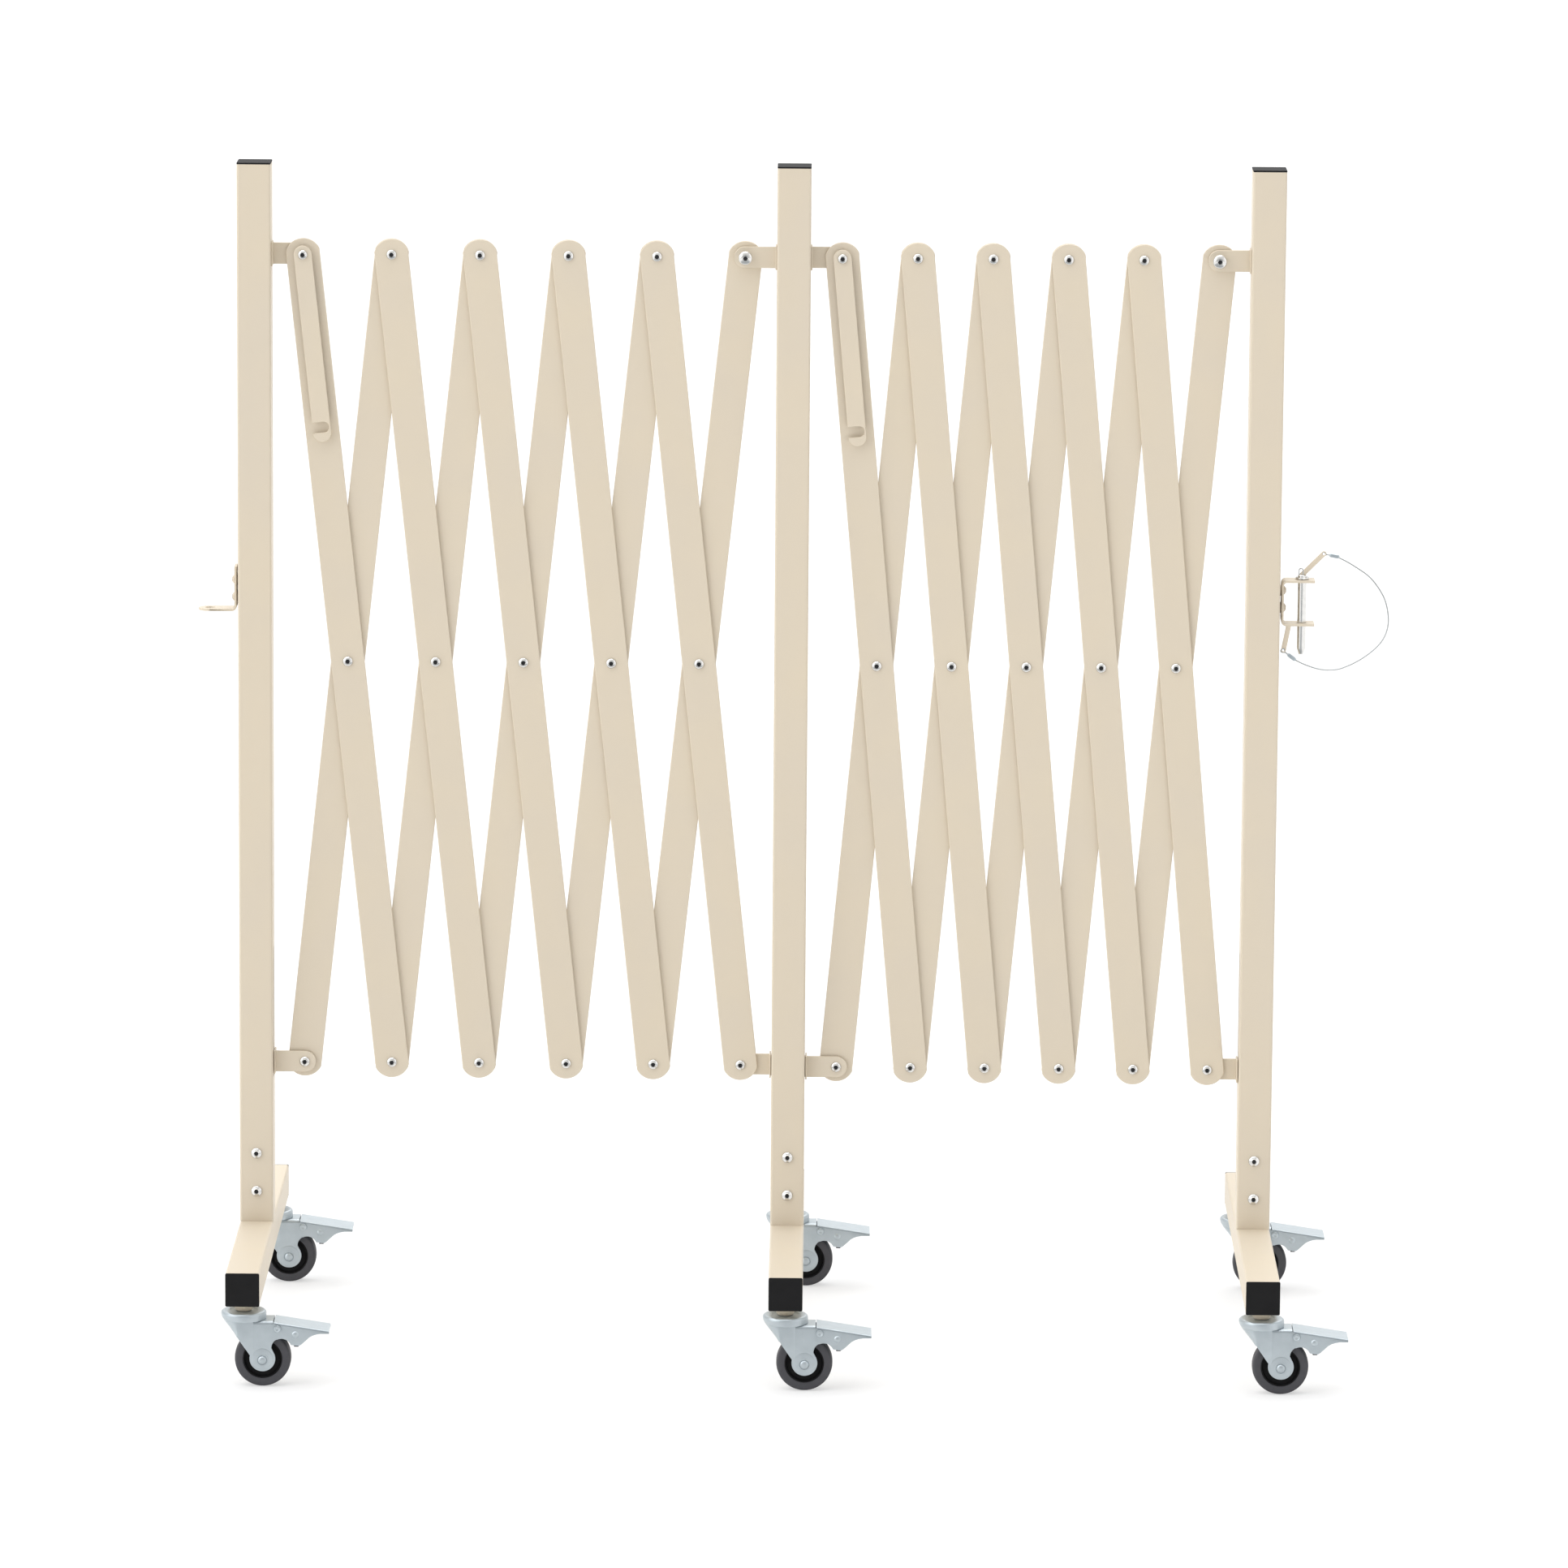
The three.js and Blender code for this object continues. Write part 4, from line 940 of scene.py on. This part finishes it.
for lattice, first_pin, last_pin, tilt in lattices:
    pitch = (last_pin - first_pin) / crossings
    drop = pin_to_pin * math.cos(tilt)
    for number in range(1, crossings + 1):
        middle = at(first_pin + (number - 0.5) * pitch, 0, top_pin_height - drop / 2)
        for layer, turn, y in (("front", -tilt, -layer_middle), ("back", tilt, layer_middle)):
            body = f"{lattice}_{layer}_bar_{number}"
            place = middle @ Matrix.Rotation(turn, 4, "Y")
            bar = piece(f"{body}_flat", body, powder_coat, [(flat_bar, place @ at(0, y, 0) @ upright)])
            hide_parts(body)
        front = middle @ Matrix.Rotation(-tilt, 4, "Y")
        parts = []
        for z in (pin_to_pin / 2, 0, -pin_to_pin / 2):
            parts.append((rivet_shank, front @ at(0, 0, z) @ along_y))
            parts.append((rivet_tail, front @ at(0, tail_face, z) @ facing_back))
            if number > 1 or z <= 0:
                parts.append((rivet_head, front @ at(0, bar_front, z) @ facing_front))
        if number == 1:
            top = front @ at(0, 0, pin_to_pin / 2)
            parts += [
                (hook_spacer, top @ at(0, bar_front, 0) @ facing_front),
                (hook_pivot_shank, top @ at(0, bar_front, 0) @ facing_front),
                (hook_pivot_head, top @ at(0, strap_front - head_gap, 0) @ facing_front),
            ]
        piece(f"{lattice}_rivets_{number}", f"{lattice}_front_bar_{number}", nickel, parts, socket_shade)

# Folding hooks: a powder coated strap of 2.5 mm flat steel hangs from the first top pin of each
# lattice. Its notch drops over the shouldered bolt at the other end when the lattice is folded.
strap_width = 16 * mm
strap_length = 155 * mm
strap_end_reach = 13 * mm
notch_half = 4.8 * mm
notch_past = 2 * mm
strap_edge = 0.5 * mm
strap_hole_radius = 3.3 * mm
strap_half = strap_width / 2
strap_outline = [
    *arc((0, 0), strap_half, 0, 180, 24),
    (-strap_half, -strap_length + notch_half),
    *arc((notch_past, -strap_length), notch_half, 90, -90, 16),
    (-strap_half, -strap_length - notch_half),
    *arc((0, -strap_length - strap_end_reach + strap_half), strap_half, 180, 360, 24),
]


def round_hole(radius):
    """A round hole's outline."""
    return arc((0, 0), radius, 0, 345, 23)


strap = plate([strap_outline, round_hole(strap_hole_radius)], strap_back - strap_front, strap_edge)
for lattice, first_pin, _, tilt in lattices:
    hang = at(first_pin, 0, top_pin_height) @ Matrix.Rotation(-tilt, 4, "Y")
    body = f"{lattice}_hook_strap"
    hook = piece(f"{body}_flat", body, powder_coat,
                 [(strap, hang @ at(0, (strap_front + strap_back) / 2, 0) @ upright)])
    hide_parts(body)

# Sliding arms: the bottom ends of a lattice ride on flat arms, each with a foot outside the post
# and a shoe inside it, joined through the slot. The first one carries its own rivet.
slide_gap = 0.5 * mm
neck_width = 6 * mm
shoe_thickness = 4 * mm
shoe_width = 20 * mm
shoe_height = 24 * mm
outside = half_tube + slide_gap
inside = half_tube - tube_wall - slide_gap
slide_neck = plate([oblong(-neck_width / 2, neck_width / 2, arm_height / 2)], outside - inside + slide_gap)
slide_shoe = plate([oblong(-shoe_width / 2, shoe_width / 2, shoe_height / 2)], shoe_thickness, arm_edge)
slide_arm = arm_plate(outside)
for lattice, first_pin, last_pin, tilt in lattices:
    low = top_pin_height - pin_to_pin * math.cos(tilt)
    for end, pin, side, layer in (("first", first_pin, 1, -1), ("last", last_pin, -1, 1)):
        body = f"{lattice}_lattice_{end}_slider"
        mirror = at(pin - side * pin_to_post, 0, low) @ Matrix.Scale(side, 4, (1, 0, 0))
        slider = piece(f"{body}_arm", body, powder_coat, [
            (arm_foot, mirror @ at(outside + arm_foot_thickness / 2, 0, 0) @ along_x),
            (slide_neck, mirror @ at((inside + outside) / 2, 0, 0) @ along_x),
            (slide_shoe, mirror @ at(inside - shoe_thickness / 2, 0, 0) @ along_x),
            (slide_arm, at(0, layer * layer_middle, 0) @ mirror @ upright),
        ])
        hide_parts(body)
        if end == "first":
            piece(f"{body}_rivet", body, nickel, [
                (rivet_head, at(pin, bar_front, low) @ facing_front),
                (rivet_shank, at(pin, 0, low) @ along_y),
                (rivet_tail, at(pin, tail_face, low) @ facing_back),
            ], socket_shade)

# Hitches: 2 mm strip, 20 mm wide, bent up and powder coated, stands off the outer posts on thick
# washers. The left one is an angle with a drilled tab, the right one a bracket with two arms.
hitch_width = 20 * mm
hitch_thickness = 2 * mm
hitch_stand_off = 1.5 * mm
hitch_bend = 4.5 * mm
hitch_edge = 0.35 * mm
tab_foot = 661 * mm
tab_reach = 36 * mm
tab_hole_reach = 25.5 * mm
tab_hole_radius = 4.7 * mm
tab_leg_height = 40 * mm
tab_screws = (673 * mm, 688.5 * mm)
bracket_low = 657 * mm
bracket_opening = 37 * mm
bracket_reach = 31 * mm
bracket_screws = (670.5 * mm, 686 * mm)
pin_reach = 20 * mm
pin_hole_radius = 4.35 * mm
hitch_washer_radius = 5 * mm
hitch_screw_head_radius = 3.8 * mm
hitch_screw_head_height = 2.2 * mm
hitch_screw_radius = 2.5 * mm
hitch_screw_inside = 4 * mm
seat = half_tube + hitch_stand_off
seat_outer = seat + hitch_thickness


def bent_strip(line):
    """A closed outline round a bent strip, from the line of its outside; the inside is offset."""
    offset = []
    for i, point in enumerate(line):
        before = Vector(line[max(i - 1, 0)])
        after = Vector(line[min(i + 1, len(line) - 1)])
        along = (after - before).normalized()
        offset.append((point[0] - along.y * hitch_thickness, point[1] + along.x * hitch_thickness))
    return [*line, *reversed(offset)]


tab_centre = half_tube + tab_reach - hitch_width / 2
tab_line = [
    (seat, tab_foot + tab_leg_height),
    *arc((seat + hitch_bend, tab_foot + hitch_bend), hitch_bend, 180, 270),
    (tab_centre, tab_foot),
]
tab_angle = plate([bent_strip(tab_line)], hitch_width, hitch_edge)
tab_end_outline = [
    (tab_centre - hitch_edge, -hitch_width / 2),
    *arc((tab_centre, 0), hitch_width / 2, -90, 90, 32),
    (tab_centre - hitch_edge, hitch_width / 2),
]
tab_end = plate([tab_end_outline], hitch_thickness, hitch_edge)
hole_cutter = welded(plate([round_hole(tab_hole_radius)], 6 * hitch_thickness))
tab_form = welded(tab_angle)
tab_form.transform(upright)
hole_place = at(half_tube + tab_hole_reach, 0, tab_foot)
tab_form = cut(tab_form, [(hole_cutter, hole_place)])
tab_end.transform(at(0, 0, tab_foot + hitch_thickness / 2))
tab_end = cut(welded(tab_end), [(hole_cutter, hole_place)])
bracket_top = bracket_low + bracket_opening + hitch_thickness
bracket_foot = bracket_low - hitch_thickness
bracket_end = half_tube + bracket_reach
bracket_line = [
    (bracket_end, bracket_top),
    *arc((seat + hitch_bend, bracket_top - hitch_bend), hitch_bend, 90, 180),
    *arc((seat + hitch_bend, bracket_foot + hitch_bend), hitch_bend, 180, 270),
    (bracket_end, bracket_foot),
]
bracket_form = welded(plate([bent_strip(bracket_line)], hitch_width, hitch_edge))
bracket_form.transform(upright)
pin_hole_depth = 2 * bracket_opening + 9 * hitch_thickness
pin_hole_cutter = welded(plate([round_hole(pin_hole_radius)], pin_hole_depth))
bracket_form = cut(bracket_form, [(pin_hole_cutter, at(half_tube + pin_reach, 0, bracket_low))])
hitch_washer = turned([
    (hitch_screw_radius, 0),
    (hitch_washer_radius, 0),
    (hitch_washer_radius, hitch_stand_off),
    (hitch_screw_radius, hitch_stand_off),
])
hitch_screw = button_head(hitch_screw_head_radius, hitch_screw_head_height,
                          -(seat_outer - half_tube + hitch_screw_inside), hitch_screw_radius)
for name, stand, side, screws, forms in (
        ("tab", "left", -1, tab_screws, [tab_form, tab_end]),
        ("bracket", "right", 1, bracket_screws, [bracket_form])):
    mirror = at(post_places[stand], 0, 0) @ Matrix.Scale(side, 4, (1, 0, 0))
    parts = [(form, mirror) for form in forms]
    for height in screws:
        parts.append((hitch_washer, mirror @ at(half_tube, 0, height) @ along_x))
    hitch = piece(f"hitch_{name}_strip", f"{stand}_stand", powder_coat, parts)
    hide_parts(f"hitch_{name}")
    heads = [(hitch_screw, mirror @ at(seat_outer, 0, height) @ along_x) for height in screws]
    piece(f"hitch_{name}_screws", f"{stand}_stand", powder_coat, heads, socket_shade)

# Locking pin: 8 mm round steel, nickel plated, with a tapered end. A collar hangs it on the bracket,
# an eye stands on its top, and a powder coated link of flat strip ends in an eye for the lanyard. A
# second link hangs from the bracket by a small rivet.
lock_pin_radius = 4 * mm
pin_seat = 696.3 * mm
pin_length = 68 * mm
pin_taper = 6 * mm
pin_tip_radius = 2.2 * mm
pin_tip_share = 0.7
collar_radius = 6 * mm
collar_height = 2 * mm
neck_height = 2 * mm
neck_wall_share = 0.7
neck_top_share = 0.8
link_width = 4.4 * mm
link_thickness = 1.4 * mm
link_eye_radius = 1.5 * mm
link_rivet_shares = [(0, 0), (0.45, 0), (0.3, 0.5), (0, 0.7)]
pin_link_end = (19 * mm, 19 * mm)
pin_eye_height = 7 * mm
pin_eye_half_width = 2.3 * mm
pin_eye_wall = 1 * mm
pin_eye_thickness = 2 * mm
bracket_link_start = (8 * mm, 654.5 * mm)
bracket_link_end = (-4 * mm, -21 * mm)
bracket_link_y = -8.4 * mm
pin_middle = post_places["right"] + half_tube + pin_reach
collar_top = pin_seat + collar_height
pin_foot = pin_seat - pin_length
lock_pin = turned([
    (0, pin_foot),
    (pin_tip_radius * pin_tip_share, pin_foot),
    (pin_tip_radius, pin_foot + link_thickness / 3),
    (lock_pin_radius, pin_foot + pin_taper),
    (lock_pin_radius, pin_seat),
    (collar_radius - cut_edge * 2, pin_seat),
    (collar_radius, pin_seat + cut_edge * 2),
    (collar_radius, collar_top - cut_edge * 2),
    (collar_radius - cut_edge * 2, collar_top),
    (lock_pin_radius, collar_top),
    (lock_pin_radius, collar_top + neck_height * neck_wall_share),
    (lock_pin_radius * neck_top_share, collar_top + neck_height),
    (0, collar_top + neck_height),
])
pin_rod = piece("locking_pin_rod", "locking_pin", nickel, [(lock_pin, at(pin_middle, 0, 0))])
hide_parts("locking_pin")


def flat_link(x, z):
    """A link with an eye at its far end, drawn in the X-Z plane from the origin."""
    length = math.hypot(x, z)
    half = link_width / 2
    outline = [*arc((0, 0), half, 90, 270, 16), *arc((length, 0), half, -90, 90, 16)]
    eye = arc((length, 0), link_eye_radius, 0, 340, 17)
    link = plate([outline, eye], link_thickness, cut_edge)
    link.transform(Matrix.Rotation(math.atan2(z, x), 4, "Z"))
    link.transform(upright)
    return link


def upright_loop(half_width, low, high):
    """A long loop's outline, round at its top, from the X axis upwards."""
    return [(-half_width, low), (half_width, low), *arc((0, high - half_width), half_width, 0, 180, 12)]


pin_eye_loop = plate([
    upright_loop(pin_eye_half_width, 0, pin_eye_height),
    upright_loop(pin_eye_half_width - pin_eye_wall, pin_eye_wall, pin_eye_height - pin_eye_wall),
], pin_eye_thickness, cut_edge)
piece("locking_pin_loop", "locking_pin", nickel,
      [(pin_eye_loop, at(pin_middle - pin_eye_half_width / 2, 0, collar_top + neck_height / 2) @ upright)])
piece("locking_pin_link", "locking_pin", powder_coat,
      [(flat_link(*pin_link_end), at(pin_middle, 0, collar_top + neck_height))])
link_x = post_places["right"] + half_tube + bracket_link_start[0]
link_rivet = turned(scaled(link_rivet_shares, link_width, link_thickness))
piece("hitch_bracket_link", "right_stand", powder_coat, [
    (flat_link(*bracket_link_end), at(link_x, bracket_link_y, bracket_link_start[1])),
    (link_rivet, at(link_x, bracket_link_y - link_thickness / 2, bracket_link_start[1]) @ facing_front),
])

# Lanyard: a steel wire rope, 1.2 mm thick and a fifth of a metre long, ties the pin to the bracket.
# Each end loops through a link and back into a crimped sleeve, and the rope springs out in an arc.
rope_radius = 0.6 * mm
rope_strands = 6
rope_lay = 9 * mm
rope_strand_depth = 0.09 * mm
# The rope's route in mm, from the middle of the right post where it stands on its beam
rope_route = [
    (56.7, 0, 613.4), (63.7, -0.6, 612.2), (71.7, -1.4, 608.8), (81.8, -2.2, 603.1), (94.1, -3, 594.6),
    (102.9, -3.4, 584.2), (109.2, -3.6, 572.4), (112.1, -3.7, 558.2), (111.2, -3.8, 546.4),
    (106.6, -4, 536.2), (97.7, -4.3, 526.8), (84.7, -4.8, 517.8), (70.6, -5.4, 511.6), (60.1, -5.9, 510.2),
    (50.4, -6.4, 511.2), (39.6, -7, 514.6), (29.6, -7.7, 519.4), (20.9, -8.4, 526),
]
rope_colour = "#A9ACAD"
rope_roughness_low = 0.3
rope_roughness_high = 0.45
rope_steps = 14
rope_sides = 18
sleeve_length = 9 * mm
sleeve_width = 3.4 * mm
sleeve_thickness = 2.2 * mm
sleeve_place_share = 0.75
eye_steps = 24
eye_half_width_share = 0.42
# The eye's form, sin x (1 - cos x), peaks at this
eye_peak = 1.3

# Galvanised wire rope: dull silver with a half matt gloss that drifts along it. Its strands are drawn
# in the mesh.
wire_rope = new_finish("Galvanised wire rope", "wire_rope")
spot = add_node(wire_rope, "ShaderNodeTexCoord").outputs["Object"]
cloud = add_node(wire_rope, "ShaderNodeTexNoise", {"Scale": 1 / zinc_cloud, "Detail": 3}, {"Vector": spot})
gloss = add_node(wire_rope, "ShaderNodeMapRange",
                 {"To Min": rope_roughness_low, "To Max": rope_roughness_high},
                 {"Value": cloud.outputs["Fac"]})
strand = add_node(wire_rope, "ShaderNodeBsdfPrincipled",
                  {"Base Color": linear(rope_colour), "Metallic": 0.8},
                  {"Roughness": gloss.outputs["Result"]})
add_node(wire_rope, "ShaderNodeOutputMaterial", links={"Surface": strand.outputs["BSDF"]})


def smooth_route(points, steps):
    """A smooth line through points, closely spaced."""
    line = []
    for i in range(len(points) - 1):
        a = points[max(i - 1, 0)]
        b = points[i]
        c = points[i + 1]
        d = points[min(i + 2, len(points) - 1)]
        for step in range(steps):
            t = step / steps
            line.append(0.5 * (2 * b + (c - a) * t + (2 * a - 5 * b + 4 * c - d) * t * t
                               + (3 * b - a - 3 * c + d) * t ** 3))
    return [*line, points[-1]]


def laid_rope(line, closed=False):
    """A rope of twisted strands along a line of points."""
    rings = []
    turned_by = 0
    last = None
    for i, point in enumerate(line):
        before = line[i - 1] if i else (line[-1] if closed else line[0])
        after = line[(i + 1) % len(line)] if closed or i + 1 < len(line) else line[-1]
        along = (after - before).normalized()
        across = along.cross(Vector((0, 1, 0))).normalized()
        up = along.cross(across)
        if last is not None:
            turned_by += (point - last).length / rope_lay * 2 * math.pi
        last = point
        ring = []
        for side in range(rope_sides):
            angle = 2 * math.pi * side / rope_sides
            reach = rope_radius - rope_strand_depth * (1 - math.cos(rope_strands * angle)) / 2
            turn = angle + turned_by
            ring.append(point + reach * (math.cos(turn) * across + math.sin(turn) * up))
        rings.append(ring)
    return lofted(rings, closed)


rope_start = Vector((post_places["right"], 0, foot_height))
rope_points = [rope_start + mm * Vector(point) for point in rope_route]
rope_line = smooth_route(rope_points, rope_steps)
rope_mesh = laid_rope(rope_line)
rope_mesh.materials.append(wire_rope)
rope_mesh.shade_smooth()
lanyard = bpy.data.objects.new("lanyard_rope", rope_mesh)
bpy.context.scene.collection.objects.link(lanyard)
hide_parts("pin_lanyard")


def eye_and_sleeve(name, body, link_eye, start, towards):
    """The loop of rope through a link's eye, and the sleeve that closes it on the rope."""
    along = (towards - start).normalized()
    side = along.cross(Vector((0, 1, 0))).normalized()
    reach = (link_eye - start).length + link_eye_radius
    loop = []
    for step in range(eye_steps):
        turn = 2 * math.pi * step / eye_steps
        pinch = link_width * eye_half_width_share * math.sin(turn) * (1 - math.cos(turn)) / eye_peak
        loop.append(start - along * reach * (1 - math.cos(turn)) / 2 + side * pinch)
    eye = laid_rope(loop, closed=True)
    sleeve = plate([rounded_square(sleeve_width, sleeve_width / 4)], sleeve_thickness, sleeve_thickness / 3)
    sleeve.transform(Matrix.Scale(sleeve_length / sleeve_width, 4, (1, 0, 0)))
    turn = Matrix((along, side, along.cross(side))).transposed().to_4x4()
    middle = at(*(start + along * sleeve_length * sleeve_place_share))
    loop_piece = piece(f"{name}_eye", body, wire_rope, [(eye, Matrix.Identity(4))])
    sleeve_piece = piece(f"{name}_sleeve", body, zinc_plate, [(sleeve, middle @ turn)])
    return [loop_piece, sleeve_piece]


pin_eye = Vector((pin_middle + pin_link_end[0], 0, collar_top + neck_height + pin_link_end[1]))
bracket_eye_height = bracket_link_start[1] + bracket_link_end[1]
bracket_eye = Vector((link_x + bracket_link_end[0], bracket_link_y, bracket_eye_height))
fittings = eye_and_sleeve("lanyard_pin_end", "locking_pin", pin_eye, rope_points[0], rope_points[1])
fittings += eye_and_sleeve("lanyard_bracket_end", "right_stand", bracket_eye, rope_points[-1],
                           rope_points[-2])
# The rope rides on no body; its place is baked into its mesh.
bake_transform(lanyard)

# Camera: about 8 m in front of the barrier and 2 m up, with a long lens, nearly square on. It looks
# 10 degrees down and leans by less than half a degree.
camera_place = Vector((0.0445, -8.0, 1.952))
camera_yaw = math.radians(-0.24)
camera_pitch = math.radians(10.24)
camera_roll = math.radians(0.42)
camera_lens = 208.5
camera_sensor = 36
camera_reach = 100
ahead = Vector((math.sin(camera_yaw) * math.cos(camera_pitch),
                math.cos(camera_yaw) * math.cos(camera_pitch),
                -math.sin(camera_pitch)))
across = Vector((math.cos(camera_yaw), -math.sin(camera_yaw), 0))
above = across.cross(ahead)
right = math.cos(camera_roll) * across + math.sin(camera_roll) * above
top = math.cos(camera_roll) * above - math.sin(camera_roll) * across
lens = bpy.data.cameras.new("Camera")
lens.lens = camera_lens
lens.sensor_width = camera_sensor
lens.sensor_fit = "HORIZONTAL"
lens.clip_end = camera_reach
camera = bpy.data.objects.new("Camera", lens)
camera.matrix_world = Matrix.Translation(camera_place) @ Matrix((right, top, -ahead)).transposed().to_4x4()
bpy.context.scene.collection.objects.link(camera)
bpy.context.scene.camera = camera

# Studio: a white floor and surround, and four broad soft lamps from above, behind, left and right.
# Only reflections see a grey aisle on the floor and a dimmer front of the surround, so that metal
# has something darker to mirror. A lamp's row is its direction, its strength and its spread.
floor_half = 30
floor_glow_share = 0.55
surround_level = 0.45
mirrored_front_level = 0.35
mirrored_front_from = -0.97
mirrored_front_to = -0.82
floor_colour = "#FAFAFA"
mirrored_floor_colour = "#A8ACAF"
white_colour = "#FFFFFF"
mirrored_floor_from = -0.35
mirrored_floor_to = -0.6
mirrored_floor_half = 0.9
mirrored_floor_fade = 0.5
lamps = [
    ("Overhead lamp", (-0.2, -0.05, 1), 1.9, 70),
    ("Rear lamp", (0.15, 0.75, 1), 1.1, 60),
    ("Left lamp", (-0.8, -0.45, 0.4), 1, 50),
    ("Right lamp", (0.9, -0.4, 0.35), 0.25, 50),
]
floor_paint = new_finish("White floor", "")
spot = add_node(floor_paint, "ShaderNodeTexCoord").outputs["Object"]
axes = add_node(floor_paint, "ShaderNodeSeparateXYZ", links={"Vector": spot})
front = add_node(floor_paint, "ShaderNodeMapRange",
                 {"From Min": mirrored_floor_from, "From Max": mirrored_floor_to},
                 {"Value": axes.outputs["Y"]})
aside = add_node(floor_paint, "ShaderNodeMath", operation="ABSOLUTE", links={0: axes.outputs["X"]})
aisle = add_node(floor_paint, "ShaderNodeMapRange",
                 {"From Min": mirrored_floor_half + mirrored_floor_fade, "From Max": mirrored_floor_half},
                 {"Value": aside.outputs["Value"], "To Max": front.outputs["Result"]})
seen = add_node(floor_paint, "ShaderNodeLightPath")
dimmed = add_node(floor_paint, "ShaderNodeMath", operation="MULTIPLY",
                  links={0: aisle.outputs["Result"], 1: seen.outputs["Is Glossy Ray"]})
tone = add_node(floor_paint, "ShaderNodeMixRGB",
                {"Color1": linear(floor_colour), "Color2": linear(mirrored_floor_colour)},
                {"Fac": dimmed.outputs["Value"]})
floor_coat = add_node(floor_paint, "ShaderNodeBsdfDiffuse", links={"Color": tone.outputs["Color"]})
white = add_node(floor_paint, "ShaderNodeEmission", {"Color": linear(white_colour), "Strength": 1})
glow = add_node(floor_paint, "ShaderNodeMath", {1: floor_glow_share}, {0: seen.outputs["Is Camera Ray"]},
                operation="MULTIPLY")
floor_look = add_node(floor_paint, "ShaderNodeMixShader", links={
    "Fac": glow.outputs["Value"], 1: floor_coat.outputs["BSDF"], 2: white.outputs["Emission"]})
add_node(floor_paint, "ShaderNodeOutputMaterial", links={"Surface": floor_look.outputs["Shader"]})
floor_mesh = bpy.data.meshes.new("floor")
floor_corners = [(x, y, 0) for x, y in oblong(-floor_half, floor_half, floor_half)]
floor_mesh.from_pydata(floor_corners, [], [(0, 1, 2, 3)])
floor_mesh.materials.append(floor_paint)
floor = bpy.data.objects.new("floor", floor_mesh)
bpy.context.scene.collection.objects.link(floor)

surround = bpy.data.worlds.new("White studio")
surround.use_nodes = True
surround.node_tree.nodes.clear()
seen = add_node(surround, "ShaderNodeLightPath")
plain = add_node(surround, "ShaderNodeMath", operation="MAXIMUM",
                 links={0: seen.outputs["Is Camera Ray"], 1: seen.outputs["Is Transmission Ray"]})
direct = add_node(surround, "ShaderNodeMapRange", {"To Min": surround_level, "To Max": 1},
                  {"Value": plain.outputs["Value"]})
way = add_node(surround, "ShaderNodeTexCoord").outputs["Generated"]
axes = add_node(surround, "ShaderNodeSeparateXYZ", links={"Vector": way})
mirrored = add_node(surround, "ShaderNodeMapRange",
                    {"From Min": mirrored_front_from, "From Max": mirrored_front_to,
                     "To Min": mirrored_front_level, "To Max": 1},
                    {"Value": axes.outputs["Y"]})
level = add_node(surround, "ShaderNodeMapRange", links={
    "Value": seen.outputs["Is Glossy Ray"],
    "To Min": direct.outputs["Result"],
    "To Max": mirrored.outputs["Result"],
})
backdrop = add_node(surround, "ShaderNodeBackground", {"Color": linear(white_colour)},
                    {"Strength": level.outputs["Result"]})
add_node(surround, "ShaderNodeOutputWorld", links={"Surface": backdrop.outputs["Background"]})
bpy.context.scene.world = surround

for name, source, strength, spread in lamps:
    light = bpy.data.lights.new(name, "SUN")
    light.energy = strength
    light.angle = math.radians(spread)
    lamp = bpy.data.objects.new(name, light)
    lamp.rotation_euler = Vector(source).to_track_quat("Z", "Y").to_euler()
    bpy.context.scene.collection.objects.link(lamp)

view = bpy.context.scene.view_settings
view.view_transform = "Standard"
